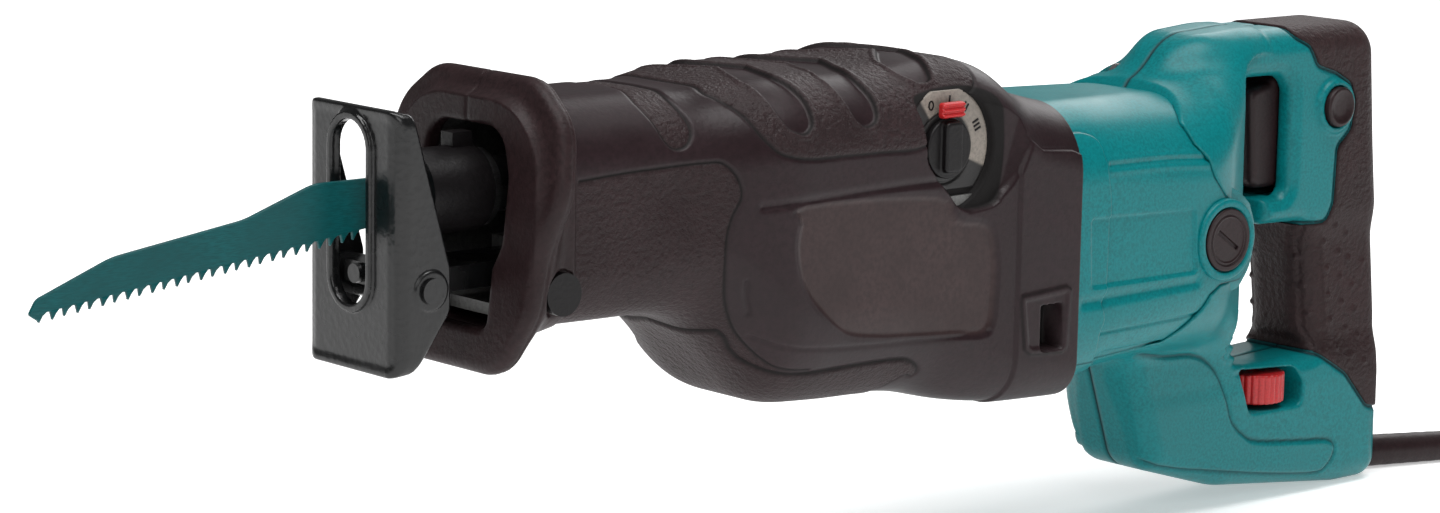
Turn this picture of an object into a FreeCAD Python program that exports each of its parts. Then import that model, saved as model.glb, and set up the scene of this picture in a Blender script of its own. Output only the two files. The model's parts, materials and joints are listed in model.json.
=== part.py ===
"""Corded orbital reciprocating saw with a D-handle.

Every sub-part is modelled in the tool's own frame: X runs back from the front face of the shoe,
Y runs across the tool, and Z runs up from the stroke axis. A placement then moves each one so
that the origin is under the middle of the tool, on the surface that it stands on.
"""
import FreeCAD, Part
import math
import os
import re

V = FreeCAD.Vector
doc = FreeCAD.newDocument("ReciprocatingSaw")

# ---------------------------------------------------------------- driving sizes, millimetres
SIZES = [
    ("axis_height", 154.5, "stroke axis above the surface"),
    ("blade_tip", -117.1, "tip of the blade"),
    ("handle_back", 490.5, "back of the grip"),
    ("stroke", 32, "travel of the blade"),
    ("motor_axis", -43, "motor axis below the stroke axis"),
    ("boot_wall", 3, "rubber boot over the gear housing"),
    ("case_wall", 4, "cast gear housing"),
    ("shell_wall", 3, "moulded motor housing and handle"),
    ("blade_thick", 1.3, "saw blade"),
    ("blade_root", 33, "rear end of the tang"),
    ("slider_radius", 9, "round part of the slider"),
    ("clamp_front", 23, "front of the blade clamp"),
    ("clamp_back", 47, "where the clamp meets the slider"),
    ("clamp_radius", 11, "clamp body"),
    ("sleeve_radius", 14, "turning sleeve of the clamp"),
    ("crank_x", 175, "crank gear axis"),
    ("gear_top", -25, "top of the crank gear"),
    ("gear_radius", 35, "crank gear"),
    ("gear_bore_radius", 7.5, "shaft of the crank gear"),
    ("yoke_half", 27, "half width of the yoke"),
    ("weight_thick", 7, "counterweight"),
    ("rod_radius", 3, "rods of the counterweight and the pins"),
    ("rod_spread", 20, "half distance of the rods"),
    ("run_gap", 0.06, "running clearance"),
    ("guide_x", 118, "pivot of the guide sleeve"),
    ("shoe_half", 24.5, "half width of the shoe"),
    ("shoe_top", 30.5, "top edge of the shoe"),
    ("shoe_foot", -54.5, "lower edge of the shoe"),
    ("shoe_plate_thick", 3, "shoe sheet"),
    ("shoe_pivot_x", 13.5, "tilt axis of the shoe"),
    ("shoe_pivot_z", -27, "tilt axis of the shoe"),
    ("lever_x", 220.5, "axis of the mode lever"),
    ("lever_z", 3, "axis of the mode lever"),
    ("boot_half", 46, "half width of the boot"),
    ("boot_back", 286, "rear edge of the boot"),
    ("motor_back", 394, "rear end of the motor housing"),
    ("brush_x", 365, "brushes"),
    ("cap_radius", 11.7, "brush cap"),
    ("shaft_radius", 5, "armature shaft"),
    ("core_radius", 26, "armature core"),
    ("handle_half", 20, "half width of the D-handle"),
    ("base_half", 20.5, "half width of the lower handle"),
    ("dial_x", 424.5, "speed wheel axis"),
    ("dial_y", -8.6, "speed wheel axis"),
    ("dial_radius", 12.4, "speed wheel"),
    ("button_x", 453, "lock-on button"),
    ("button_z", -3, "lock-on button"),
    ("cord_radius", 4, "cord"),
    ("guard_x", 488, "where the cord guard leaves the handle"),
    ("guard_z", -147.9, "where the cord guard leaves the handle"),
    ("coil_mean", 44, "mean radius of the put-away coil"),
    ("edge_round", 9, "rounded edges of the handle"),
]

sheet = doc.addObject("Spreadsheet::Sheet", "Sizes")
for line, (alias, value, note) in enumerate(SIZES, start=1):
    sheet.set(f"A{line}", note)
    sheet.set(f"B{line}", str(value))
    sheet.setAlias(f"B{line}", alias)
doc.recompute()
ALIASES = {alias for alias, value, note in SIZES}
SHIFT_X = "-(Sizes.blade_tip + Sizes.handle_back) / 2"
SHIFT_Z = "Sizes.axis_height"


def size(alias):
    """The value of one cell."""
    return float(sheet.get(alias))


def cells(text):
    """An expression in which every alias is read from the sheet."""
    return re.sub(r"[a-z_]+", lambda m: "Sizes." + m.group() if m.group() in ALIASES else m.group(), str(text))


def bind(item, **values):
    for name, text in values.items():
        item.setExpression(name, cells(text))


# ---------------------------------------------------------------- building blocks
TURNS = {"X": (V(0, 1, 0), 90), "Y": (V(1, 0, 0), -90), "Z": (V(0, 0, 1), 0)}
spots = {}
sub_parts = []


def put(item, x=0, y=0, z=0, along="Z"):
    """Place an item in the tool frame, its axis along X, Y or Z."""
    item.Placement = FreeCAD.Placement(V(0, 0, 0), FreeCAD.Rotation(*TURNS[along]))
    spots[item.Name] = (cells(x), cells(y), cells(z))
    for letter, text in zip("xyz", spots[item.Name]):
        item.setExpression("Placement.Base." + letter, text)
    return item


def cylinder(radius, length, x=0, y=0, z=0, along="X"):
    item = doc.addObject("Part::Cylinder", "Cylinder")
    bind(item, Radius=radius, Height=length)
    return put(item, x, y, z, along)


def box(x, y, z):
    """A box from three (low, high) pairs."""
    item = doc.addObject("Part::Box", "Box")
    spans = {"Length": x, "Width": y, "Height": z}
    for name, (low, high) in spans.items():
        item.setExpression(name, cells(f"({high}) - ({low})"))
    return put(item, x[0], y[0], z[0])


def feature(shape):
    item = doc.addObject("Part::Feature", "Solid")
    item.Shape = shape
    return item


def fuse(*items):
    item = doc.addObject("Part::MultiFuse", "Fuse")
    item.Shapes = list(items)
    return item


def cut(base, *tools):
    item = doc.addObject("Part::Cut", "Cut")
    item.Base = base
    item.Tool = tools[0] if len(tools) == 1 else fuse(*tools)
    return item


def common(first, second):
    item = doc.addObject("Part::Common", "Common")
    item.Base = first
    item.Tool = second
    return item


def tube(outer, inner, length, x=0, y=0, z=0, along="X"):
    reach = {"X": (f"({x}) - 1", y, z), "Y": (x, f"({y}) - 1", z), "Z": (x, y, f"({z}) - 1")}[along]
    return cut(cylinder(outer, length, x, y, z, along), cylinder(inner, f"({length}) + 2", *reach, along))


def rounded(points):
    """Lines and arcs of a closed outline; a point is (u, v) or (u, v, corner radius)."""
    corners = []
    count = len(points)
    for index, point in enumerate(points):
        here = V(point[0], point[1], 0)
        if len(point) == 2:
            corners.append((here, None, here))
            continue
        before = V(*points[index - 1][:2], 0) - here
        after = V(*points[(index + 1) % count][:2], 0) - here
        before.normalize()
        after.normalize()
        half = before.getAngle(after) / 2
        step = point[2] / math.tan(half)
        middle = before + after
        middle.normalize()
        depth = point[2] / math.sin(half) - point[2]
        corners.append((here + before * step, here + middle * depth, here + after * step))
    edges = []
    for index, (start, middle, end) in enumerate(corners):
        if middle is not None:
            edges.append(Part.Arc(start, middle, end))
        following = corners[(index + 1) % count][0]
        if end.distanceToPoint(following) > 1e-6:
            edges.append(Part.LineSegment(end, following))
    return edges


PLANES = {"XY": ("XY_Plane", 1), "XZ": ("XZ_Plane", -1), "YZ": ("YZ_Plane", 1)}


def sketched(points, plane):
    """A body with one closed sketch on one of its origin planes."""
    body = doc.addObject("PartDesign::Body", "Body")
    sketch = body.newObject("Sketcher::SketchObject", "Sketch")
    role, sign = PLANES[plane]
    origin = [item for item in body.Origin.OriginFeatures if item.Role == role][0]
    sketch.AttachmentSupport = [(origin, "")]
    sketch.MapMode = "FlatFace"
    sketch.addGeometry(rounded(points), False)
    return body, sketch, sign


def prism(points, low, high, plane="XZ"):
    """A padded outline between two heights along the plane's normal, +X, +Y or +Z."""
    body, sketch, sign = sketched(points, plane)
    sketch.setExpression("AttachmentOffset.Base.z", cells(f"{sign} * (({low}) + ({high})) / 2"))
    pad = body.newObject("PartDesign::Pad", "Pad")
    pad.Profile = sketch
    pad.SideType = "Symmetric"
    pad.setExpression("Length", cells(f"({high}) - ({low})"))
    return put(body)


def turned(points, z=0):
    """A turned piece: an outline of (x, radius) points, revolved about a line along X."""
    body, sketch, sign = sketched(points, "XZ")
    turn = body.newObject("PartDesign::Revolution", "Turn")
    turn.Profile = sketch
    turn.ReferenceAxis = (sketch, ["H_Axis"])
    turn.Angle = 360
    return put(body, z=z)


def finish(item, label):
    """Name a sub-part and move it from the tool frame into the part's frame."""
    item.Label = label
    x, y, z = spots.get(item.Name, ("0", "0", "0"))
    item.setExpression("Placement.Base.x", f"{x} + {SHIFT_X}")
    item.setExpression("Placement.Base.y", y)
    item.setExpression("Placement.Base.z", f"{z} + {SHIFT_Z}")
    sub_parts.append(item)
    return item


# ---------------------------------------------------------------- hulls of the housings
def section(x, top, bottom, half, upper, lower):
    """A rounded rectangle across the tool, with its upper and lower corner radii."""
    corners = [(-half, bottom, lower), (half, bottom, lower), (half, top, upper), (-half, top, upper)]
    edges = [Part.LineSegment(item.StartPoint, item.EndPoint) if isinstance(item, Part.LineSegment) else item
             for item in rounded(corners)]
    turn = FreeCAD.Matrix(0, 0, 1, x, 1, 0, 0, 0, 0, 1, 0, 0, 0, 0, 0, 1)
    wire = Part.Wire([item.toShape() for item in edges])
    return wire.transformGeometry(turn)


def hull(stations, inset=0.0, front=None, back=None):
    """A solid through the stations (x, top, bottom, half width, upper and lower corner radius)."""
    rows = [list(row) for row in stations]
    if front is not None:
        rows[0][0] = front
    if back is not None:
        rows[-1][0] = back
    wires = [section(x, top - inset, bottom + inset, half - inset, max(upper - inset, 2), max(lower - inset, 2))
             for x, top, bottom, half, upper, lower in rows]
    return Part.makeLoft(wires, True, True)


HALF = size("boot_half")
BACK = size("boot_back")
BOOT = [
    (61, 29, -45, 34, 24, 20),
    (110, 30, -46, 36, 25, 24),
    (124, 30.4, -52.5, 40.5, 26, 28),
    (135, 31.5, -63.5, 43.5, 28, 32),
    (147, 32.5, -75.5, HALF, 28, 34),
    (162, 32.5, -81.5, HALF, 27, 36),
    (205, 32.5, -85.5, HALF, 25, 34),
    (236, 31.5, -88.5, HALF, 24, 26),
    (250, 27, -92, HALF + 0.8, 24, 19),
    (262, 17.8, -94, HALF + 1.5, 24, 16),
    (BACK, 13.5, -92, HALF + 2, 24, 14),
]
MOTOR = [
    (BACK, 12, -90, HALF + 1.5, 26, 24),
    (300, 11, -89, HALF + 1, 28, 26),
    (302, 10, -88, HALF - 1, 30, 30),
    (350, 10, -87, HALF - 2, 32, 30),
    (380, 6, -84, HALF - 4, 30, 30),
    (size("motor_back"), -4, -76, HALF - 9, 26, 28),
]


def shell(stations, outside, wall, front=None):
    """A hull's wall, open at both ends."""
    outer = hull(stations, outside, front)
    inner = hull(stations, outside + wall, (front or stations[0][0]) - 1, stations[-1][0] + 1)
    return outer.cut(inner)


# ---------------------------------------------------------------- blade
def blade_outline():
    """Tang, curved back and a row of saw teeth, seen from the side."""
    heel = (5.0, -12.4)
    toe = (-114.0, -26.4)
    teeth = 30
    gullet = 2.1
    outline = [(size("blade_root"), -6.2, 2), (7.0, -6.2, 1.5), (6.5, -10.5)]
    step_x = (toe[0] - heel[0]) / teeth
    step_z = (toe[1] - heel[1]) / teeth
    for index in range(teeth):
        x = heel[0] + step_x * index
        z = heel[1] + step_z * index
        outline.append((x, z + gullet))
        outline.append((x + 0.72 * step_x, z + 0.72 * step_z + 0.5 * gullet))
        outline.append((x + 0.96 * step_x, z + 0.96 * step_z))
    outline += [(size("blade_tip"), -23.6), (-114.5, -19.2, 4), (-88, -9.2, 30), (-40, -2.4, 30),
                (-14, 6.4, 20), (7, 6.4, 3), (9, 6.2), (size("blade_root"), 6.2, 2)]
    return outline


PIN_X = 29
blade = prism(blade_outline(), "-blade_thick / 2", "blade_thick / 2")
finish(cut(blade, cylinder(2.3, 6, PIN_X, -3, 0, "Y")), "blade")

# ---------------------------------------------------------------- blade clamp and slider
clamp = cylinder("clamp_radius", "clamp_back - clamp_front", "clamp_front")
slit = box(("clamp_front - 1", "blade_root + 0.4"), ("-blade_thick / 2 - 0.1", "blade_thick / 2 + 0.1"), (-7, 7))
finish(cut(clamp, slit, cylinder(2.2, 14, PIN_X, -3, 0, "Y")), "clamp_body")
finish(cylinder(2.2, 13.6, PIN_X, -3, 0, "Y"), "clamp_pin")
sleeve = tube("sleeve_radius", "clamp_radius + run_gap", "clamp_back - clamp_front", "clamp_front")
tab = box((38, 46), (-3, 3), ("sleeve_radius - 1", "sleeve_radius + 4.5"))
finish(fuse(sleeve, tab), "clamp_sleeve")
spring = tube(13, "slider_radius + 0.5", 3, "clamp_back + 0.4")
finish(cut(spring, box((46, 52), (-1.5, 1.5), (4, 16))), "clamp_spring")

YOKE_X = "crank_x - stroke / 2"
rod = cylinder("slider_radius", f"{YOKE_X} - 12 - clamp_back", "clamp_back")
yoke = box((f"{YOKE_X} - 13", f"{YOKE_X} + 13"), ("-yoke_half", "yoke_half"), (-7, 7))
slot = box((f"{YOKE_X} - 7.3", f"{YOKE_X} + 7.3"), ("4 - yoke_half", "yoke_half - 4"), (-8, 8))
finish(cut(fuse(rod, yoke), slot), "slider")

# ---------------------------------------------------------------- guide sleeve and its pins
GUIDE_HOLE = "slider_radius + run_gap"
body = fuse(cylinder(16, 42, 90), box(("guide_x - 8", "guide_x + 8"), (-21, 21), (-9, 9)))
bores = [cylinder(GUIDE_HOLE, 50, 86)]
for side in ("-22", "14"):
    bores.append(cylinder("rod_radius + run_gap", 8, "guide_x", side, 0, "Y"))
finish(cut(body, *bores), "guide_sleeve")
finish(tube(16, GUIDE_HOLE, 6, 84), "wiper_seal")
pins = [cylinder("rod_radius", 18, "guide_x", start, 0, "Y") for start in ("14.5", "-32.5")]
finish(fuse(*pins), "guide_pins")

# ---------------------------------------------------------------- crank gear
GEAR_TEETH = 45
PINION_TEETH = 9
PITCH_RADIUS = 32.0
PINION_RADIUS = PITCH_RADIUS * PINION_TEETH / GEAR_TEETH
FACE_ROOT = 1.5
FACE_TIP = 1.3
MESH_Z = size("motor_axis") + PINION_RADIUS


def face_tooth(angle):
    """One radial tooth on the underside of the crank gear."""
    inner, outer = 28.5, 34.8
    root, tip = 1.15, 0.4
    top, low = MESH_Z + FACE_ROOT + 0.2, MESH_Z - FACE_TIP
    rows = [(inner, root, top), (inner, tip, low), (outer, root, top), (outer, tip, low)]
    points = [V(r, side * half, z) for r, half, z in rows for side in (-1, 1)]
    faces = [(0, 1, 3, 2), (4, 6, 7, 5), (0, 2, 6, 4), (1, 5, 7, 3), (0, 4, 5, 1), (2, 3, 7, 6)]
    wires = [Part.makePolygon([points[index] for index in face + face[:1]]) for face in faces]
    tooth = Part.Solid(Part.Shell([Part.Face(wire) for wire in wires]))
    if tooth.Volume < 0:
        tooth.reverse()
    tooth.rotate(V(0, 0, 0), V(0, 0, 1), angle)
    tooth.translate(V(size("crank_x"), 0, 0))
    return tooth


teeth = [face_tooth((index + 0.5) * 360 / GEAR_TEETH) for index in range(GEAR_TEETH)]
DISC_LOW = MESH_Z + FACE_ROOT
disc = cylinder("gear_radius", f"gear_top - {DISC_LOW}", "crank_x", 0, DISC_LOW, "Z")
crank_pin = cylinder(4, 14.5, YOKE_X, 0, "gear_top - 1", "Z")
journal = cylinder("gear_bore_radius", 44, "crank_x", 0, -77, "Z")
eccentric = cylinder(15, 3.5, "crank_x + stroke / 4", 0, -52.2, "Z")
toothed = doc.addObject("Part::Feature", "Teeth")
toothed.Shape = Part.makeCompound(teeth)
finish(fuse(disc, crank_pin, journal, eccentric, toothed), "crank_gear")
finish(tube(6.8, 4, 8.5, YOKE_X, 0, "gear_top + 3.5", "Z"), "crank_roller")
GEAR_BORE = "gear_bore_radius + run_gap"
finish(tube(14, GEAR_BORE, 7.5, "crank_x", 0, -48, "Z"), "crank_bearing_upper")
finish(tube(15, GEAR_BORE, 9, "crank_x", 0, -77, "Z"), "crank_bearing_lower")

# ---------------------------------------------------------------- counterweight
WEIGHT_X = "crank_x + stroke / 4"
WEIGHT_LOW = -61
weight = box((f"{WEIGHT_X} - 22", f"{WEIGHT_X} + 29"), (-24, 24), (WEIGHT_LOW, f"{WEIGHT_LOW} + weight_thick"))
channel = prism([(165.9, -8.6, 8), (200.1, -8.6, 8), (200.1, 8.6, 8), (165.9, 8.6, 8)], -63, -52, "XY")
ROD_Z = f"{WEIGHT_LOW} + weight_thick / 2"
holes = [cylinder("rod_radius + run_gap", 70, 148, f"{sign} * rod_spread", ROD_Z) for sign in (-1, 1)]
finish(cut(weight, channel, *holes), "counterweight")
rods = [cylinder("rod_radius", 87.5, 135.5, f"{sign} * rod_spread", ROD_Z) for sign in (-1, 1)]
finish(fuse(*rods), "counterweight_rods")

# ---------------------------------------------------------------- gear housing, in two castings
CASE_IN = size("boot_wall") + 0.7
CASE = CASE_IN + size("case_wall")
NOSE_X = 50
case_outer = hull(BOOT, CASE_IN, NOSE_X)


def inside_case(low, high):
    """The part of a box that lies inside the outer face of the casting."""
    slab = Part.makeBox(high[0] - low[0], high[1] - low[1], high[2] - low[2], V(*low))
    return slab.common(case_outer)


def rod_round(radius, length, start, along):
    return Part.makeCylinder(radius, length, V(*start), along)


AX, AY, AZ = V(1, 0, 0), V(0, 1, 0), V(0, 0, 1)
crank_x, guide_x, motor_z = size("crank_x"), size("guide_x"), size("motor_axis")
casting = shell(BOOT, CASE_IN, size("case_wall"), NOSE_X)
casting = casting.fuse([
    inside_case((126, -45, -48), (192, 45, -40.5)),
    inside_case((226, -50, -100), (240, 50, 40)),
    inside_case((131, -30, -62), (140, 30, -50)),
    inside_case((216, -30, -62), (227, 30, -50)),
    inside_case((70, -17, -46), (104, 17, -20)),
    rod_round(18, 18, (crank_x, 0, -84.5), AZ).common(case_outer),
    rod_round(7, 14, (guide_x, 22, 0), AY).common(case_outer),
    rod_round(7, 14, (guide_x, -36, 0), AY).common(case_outer),
    inside_case((203, -45, -14), (243, -34, 27)),
])
SCREW_SPOTS = [(145, -35), (145, 35), (209.5, -35), (209.5, 35)]
casting = casting.fuse([rod_round(4.6, 29, (x, y, -18), AZ) for x, y in SCREW_SPOTS])
rod_z = -61 + size("weight_thick") / 2
lever_x, lever_z = size("lever_x"), size("lever_z")
LOCK_X, LOCK_Z = 57, -31
PORT = ((264.5, -52, -73), (276.5, -40, -56))
casting = casting.cut([
    rod_round(14, 8.5, (crank_x, 0, -48.5), AZ),
    rod_round(15, 9, (crank_x, 0, -77), AZ),
    rod_round(8.5, 12, (crank_x, 0, -70), AZ),
    rod_round(13, 30, (220, 0, motor_z), AX),
    rod_round(size("rod_radius"), 87.5, (135.5, -size("rod_spread"), rod_z), AX),
    rod_round(size("rod_radius"), 87.5, (135.5, size("rod_spread"), rod_z), AX),
    rod_round(size("rod_radius"), 65, (guide_x, -32.5, 0), AY),
    rod_round(5.2, 20, (lever_x, -46, lever_z), AY),
    rod_round(4.4, 26, (LOCK_X, -40, LOCK_Z), AY),
    Part.makeBox(50, 22.4, 8.4, V(60, -11.2, -31.2)),
    Part.makeBox(PORT[1][0] - PORT[0][0], 14, PORT[1][2] - PORT[0][2], V(*PORT[0])),
])
casting = casting.cut(Part.makeBox(38.5, 9, 40, V(204, -49, -14)))
casting = casting.cut([rod_round(2, 25, (x, y, -14), AZ) for x, y in SCREW_SPOTS])
casting = casting.cut([rod_round(3.9, 24, (x, y, 11), AZ) for x, y in SCREW_SPOTS])
upper_half = Part.makeBox(400, 200, 100, V(0, -100, 0))
finish(feature(casting.cut(upper_half)), "gear_housing")
finish(feature(casting.common(upper_half)), "gear_housing_cover")
screws = []
for x, y in SCREW_SPOTS:
    screws.append(rod_round(2, 25, (x, y, -14), AZ).fuse(rod_round(3.8, 3, (x, y, 11), AZ)))
finish(feature(Part.makeCompound(screws)), "cover_screws")

# ---------------------------------------------------------------- rubber boot
boot = shell(BOOT, 0, size("boot_wall"))
DIAL_RECESS = [(204, 24, 6), (238, 22, 10), (252, 0, 8), (236, -19, 6), (220, -19, 4), (204.5, 0, 8)]


def side_prism(points, low, high):
    """An outline in the side view, extruded between two Y values."""
    flat = Part.Wire([item.toShape() for item in rounded(points)])
    stand = FreeCAD.Matrix(1, 0, 0, 0, 0, 0, -1, low, 0, 1, 0, 0, 0, 0, 0, 1)
    face = Part.Face(flat.transformGeometry(stand))
    return face.extrude(V(0, high - low, 0))


boot = boot.cut([
    side_prism(DIAL_RECESS, -60, -30),
    rod_round(7.4, 20, (LOCK_X, -46, LOCK_Z), AY),
    Part.makeBox(PORT[1][0] - PORT[0][0], 14, PORT[1][2] - PORT[0][2], V(*PORT[0])),
])
finish(feature(boot), "housing_boot")

# ---------------------------------------------------------------- front guard
GUARD_LEAN = 8.4
GUARD = [(-26, -58.5, 16), (26, -58.5, 16), (37, -37, 14), (38, -20, 30), (46.5, 2, 24), (43, 25, 20),
         (26, 38, 18), (-26, 38, 18), (-43, 25, 20), (-46.5, 2, 24), (-38, -20, 30), (-37, -37, 14)]
KEYHOLE = [(-16, -44, 4), (16, -44, 4), (16, -24, 4), (20, -16, 8), (21, 6, 10), (17, 21, 10),
           (-17, 21, 10), (-21, 6, 10), (-20, -16, 8), (-16, -24, 4)]


def across(points, front, back):
    """An outline in the front view, extruded between two X values."""
    flat = Part.Wire([item.toShape() for item in rounded(points)])
    stand = FreeCAD.Matrix(0, 0, 1, front, 1, 0, 0, 0, 0, 1, 0, 0, 0, 0, 0, 1)
    return Part.Face(flat.transformGeometry(stand)).extrude(V(back - front, 0, 0))


rim = across(GUARD, 0, 7)
rim.rotate(V(0, 0, 0), AY, GUARD_LEAN)
rim.translate(V(47.5, 0, 0))
collar = hull([(46, 30, -49, 36, 24, 20), (60.8, 30, -47, 36, 24, 20)])
mouth = across(KEYHOLE, 20, 70)
guard = rim.fuse(collar).cut([mouth, hull(BOOT, CASE_IN, NOSE_X - 0.1)])
guard = guard.cut(rod_round(7.6, 30, (LOCK_X, -52, LOCK_Z), AY))
finish(feature(guard), "front_guard")

# ---------------------------------------------------------------- shoe and its bracket
BEND = 6
half, foot, top = size("shoe_half"), size("shoe_foot"), size("shoe_top")
sheet_thick = size("shoe_plate_thick")
REACH = 23
outer = [(0, -half, BEND), (REACH, -half), (REACH, half), (0, half, BEND)]
inner = [(sheet_thick, sheet_thick - half, BEND - sheet_thick), (REACH + 1, sheet_thick - half),
         (REACH + 1, half - sheet_thick), (sheet_thick, half - sheet_thick, BEND - sheet_thick)]
channel = cut(prism(outer, foot, top, "XY"), prism(inner, "shoe_foot - 1", "shoe_top + 1", "XY"))
ears = prism([(-1, foot, 2), (6.5, foot), (REACH - 2, -33, 8), (REACH - 2, -21, 8), (6.5, top), (-1, top, 2)],
             -30, 30)
SLOT = [(-8.8, -33, 8.7), (8.8, -33, 8.7), (8.8, 25.5, 8.7), (-8.8, 25.5, 8.7)]
window = prism(SLOT, -2, 5, "YZ")
bore = cylinder("rod_radius + run_gap", 60, "shoe_pivot_x", -30, "shoe_pivot_z", "Y")
finish(cut(common(channel, ears), window, bore), "shoe")

pivot = cylinder("rod_radius", "2 * shoe_half + 1.2", "shoe_pivot_x", "-shoe_half - 0.6", "shoe_pivot_z", "Y")
heads = [cylinder(4.2, 1.4, "shoe_pivot_x", start, "shoe_pivot_z", "Y")
         for start in ("-shoe_half - 1.6", "shoe_half + 0.2")]
finish(fuse(pivot, *heads), "shoe_pivot_pin")
hub = cylinder(6.6, "2 * shoe_half - 7", "shoe_pivot_x", "3.5 - shoe_half", "shoe_pivot_z", "Y")
nose = box((3.6, "shoe_pivot_x"), (-8, 8), (-27, -20))
bar = box(("shoe_pivot_x", 122), (-11, 11), (-31, -23))
bores = [cylinder("rod_radius", 60, "shoe_pivot_x", -30, "shoe_pivot_z", "Y"), cylinder(1.7, 5, 3, 0, -23.5)]
finish(cut(fuse(hub, nose, bar), *bores), "shoe_bracket")
finish(fuse(cylinder(3.1, 2.2, 1.4, 0, -23.5), cylinder(1.7, 3.5, 3.6, 0, -23.5)), "shoe_screw")
finish(fuse(cylinder(7, 3, LOCK_X, -37, LOCK_Z, "Y"), cylinder(4, 20, LOCK_X, -34, LOCK_Z, "Y")),
       "shoe_lock_button")

# ---------------------------------------------------------------- mode lever
plate = cylinder(21, 1.5, "lever_x", -41.5, "lever_z", "Y")
plate = cut(plate, cylinder(5.4, 4, "lever_x", -44, "lever_z", "Y"))
finish(common(plate, box(("lever_x - 16", "lever_x + 21"), (-45, -39), ("lever_z - 15", "lever_z + 20"))),
       "dial_plate")
hub = cylinder(10.5, 2.6, "lever_x", -44.2, "lever_z", "Y")
arm = prism([(216.5, -7, 3), (224.5, -7, 3), (224.5, 9.4, 1), (216.5, 9.4, 1)], -46.4, -42.3)
stem = cylinder(5, 19, "lever_x", -43, "lever_z", "Y")
cam = cylinder(4.2, 6, "lever_x + 0.8", -25, "lever_z", "Y")
finish(fuse(hub, arm, stem, cam), "mode_lever")
finish(box(("lever_x - 5.5", "lever_x + 5.5"), (-46, -43.4), ("lever_z + 10.7", "lever_z + 16.2")),
       "lever_button")

# ---------------------------------------------------------------- motor
PINION_X = (204.5, 209.5)


def pinion():
    """Spur pinion on the motor axis, one tooth straight up."""
    root, tip = PINION_RADIUS - 1.5, PINION_RADIUS + 1.0
    points = []
    for index in range(PINION_TEETH):
        middle = math.radians(90 + index * 360 / PINION_TEETH)
        for radius, half_width in ((root, 1.15), (tip, 0.4)):
            points.append((radius, middle - half_width / radius))
        for radius, half_width in ((tip, 0.4), (root, 1.15)):
            points.append((radius, middle + half_width / radius))
    corners = [V(PINION_X[0], r * math.cos(a), motor_z + r * math.sin(a)) for r, a in points]
    return Part.Face(Part.makePolygon(corners + corners[:1])).extrude(V(PINION_X[1] - PINION_X[0], 0, 0))


SHAFT = [(204.5, 0), (204.5, 4.5), (211, 4.5), (211, 5), (386.5, 5), (386.5, 0)]
shaft = turned(SHAFT, "motor_axis")
finish(fuse(shaft, feature(pinion())), "armature_shaft")
finish(tube("core_radius", "shaft_radius", 50, 292, 0, "motor_axis"), "armature_core")
finish(tube(15, "shaft_radius", 20, 353, 0, "motor_axis"), "commutator")
finish(tube(13, "shaft_radius + run_gap", 11, 228, 0, "motor_axis"), "front_bearing")
finish(tube(10, "shaft_radius + run_gap", 8, 379, 0, "motor_axis"), "rear_bearing")

FAN_X = 262


def fan_blade(index, count):
    blade_shape = Part.makeBox(11, 26, 2, V(FAN_X + 1.5, 8, motor_z - 1))
    blade_shape.rotate(V(FAN_X, 0, motor_z), AX, index * 360 / count)
    return blade_shape


blades = feature(Part.makeCompound([fan_blade(index, 11) for index in range(11)]))
backplate = tube(36, "shaft_radius", 2, FAN_X, 0, "motor_axis")
hub = tube(10, "shaft_radius", 14, FAN_X, 0, "motor_axis")
finish(fuse(backplate, hub, blades), "fan")

stator = tube(38, 27.2, 54, 290, 0, "motor_axis")
coils = [tube(35, 29, 8, start, 0, "motor_axis") for start in (282.5, 343.5)]
finish(fuse(stator, *coils), "stator")
finish(tube(40.2, 37, 5, 279, 0, "motor_axis"), "fan_baffle")

inner_motor = hull(MOTOR, size("shell_wall"), BACK - 1, size("motor_back") - 4)
motor = hull(MOTOR).cut(inner_motor)
brush_x, cap_radius = size("brush_x"), size("cap_radius")
outer_motor = hull(MOTOR)
supports = [rod_round(15, 14, (brush_x, side, motor_z), AY) for side in (-46, 32)]
bearing_seat = rod_round(13, 14, (379, 0, motor_z), AX)
spokes = [Part.makeBox(10, 84, 6, V(380, -42, motor_z - 3)).common(outer_motor)]
motor = motor.fuse(supports + [bearing_seat] + spokes)
rails = [Part.makeBox(50, 14, 8, V(292, side, motor_z - 4)).common(outer_motor) for side in (-46, 32)]
motor = motor.fuse(rails)
motor = motor.cut([
    rod_round(cap_radius + 0.2, 6, (brush_x, -47, motor_z), AY),
    rod_round(cap_radius + 0.2, 6, (brush_x, 41, motor_z), AY),
    Part.makeBox(12, 100, 15, V(brush_x - 6, -50, motor_z - 7.5)),
    rod_round(10, 12, (375, 0, motor_z), AX),
    rod_round(38, 54, (290, 0, motor_z), AX),
    rod_round(35.3, 9, (343.5, 0, motor_z), AX),
])
finish(feature(motor), "motor_housing")
holders = []
bars = []
for low, high in ((-40.8, -18), (18, 40.8)):
    sleeve = box(("brush_x - 6", "brush_x + 6"), (low, high), ("motor_axis - 7.5", "motor_axis + 7.5"))
    hole = box(("brush_x - 3.5", "brush_x + 3.5"), (low - 1, high + 1), ("motor_axis - 5", "motor_axis + 5"))
    holders.append(cut(sleeve, hole))
for low, high in ((-36, -15.2), (15.2, 36)):
    bars.append(box(("brush_x - 3.5", "brush_x + 3.5"), (low, high), ("motor_axis - 5", "motor_axis + 5")))
finish(fuse(*holders), "brush_holders")
finish(fuse(*bars), "carbon_brushes")
caps = []
for start, notch in ((-45.6, (-47, -44.4)), (41, (44.4, 47))):
    disc = cylinder("cap_radius", 4.6, "brush_x", start, "motor_axis", "Y")
    caps.append(cut(disc, box(("brush_x - 1", "brush_x + 1"), notch, ("motor_axis - 6", "motor_axis + 6"))))
finish(fuse(*caps), "brush_caps")

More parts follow.
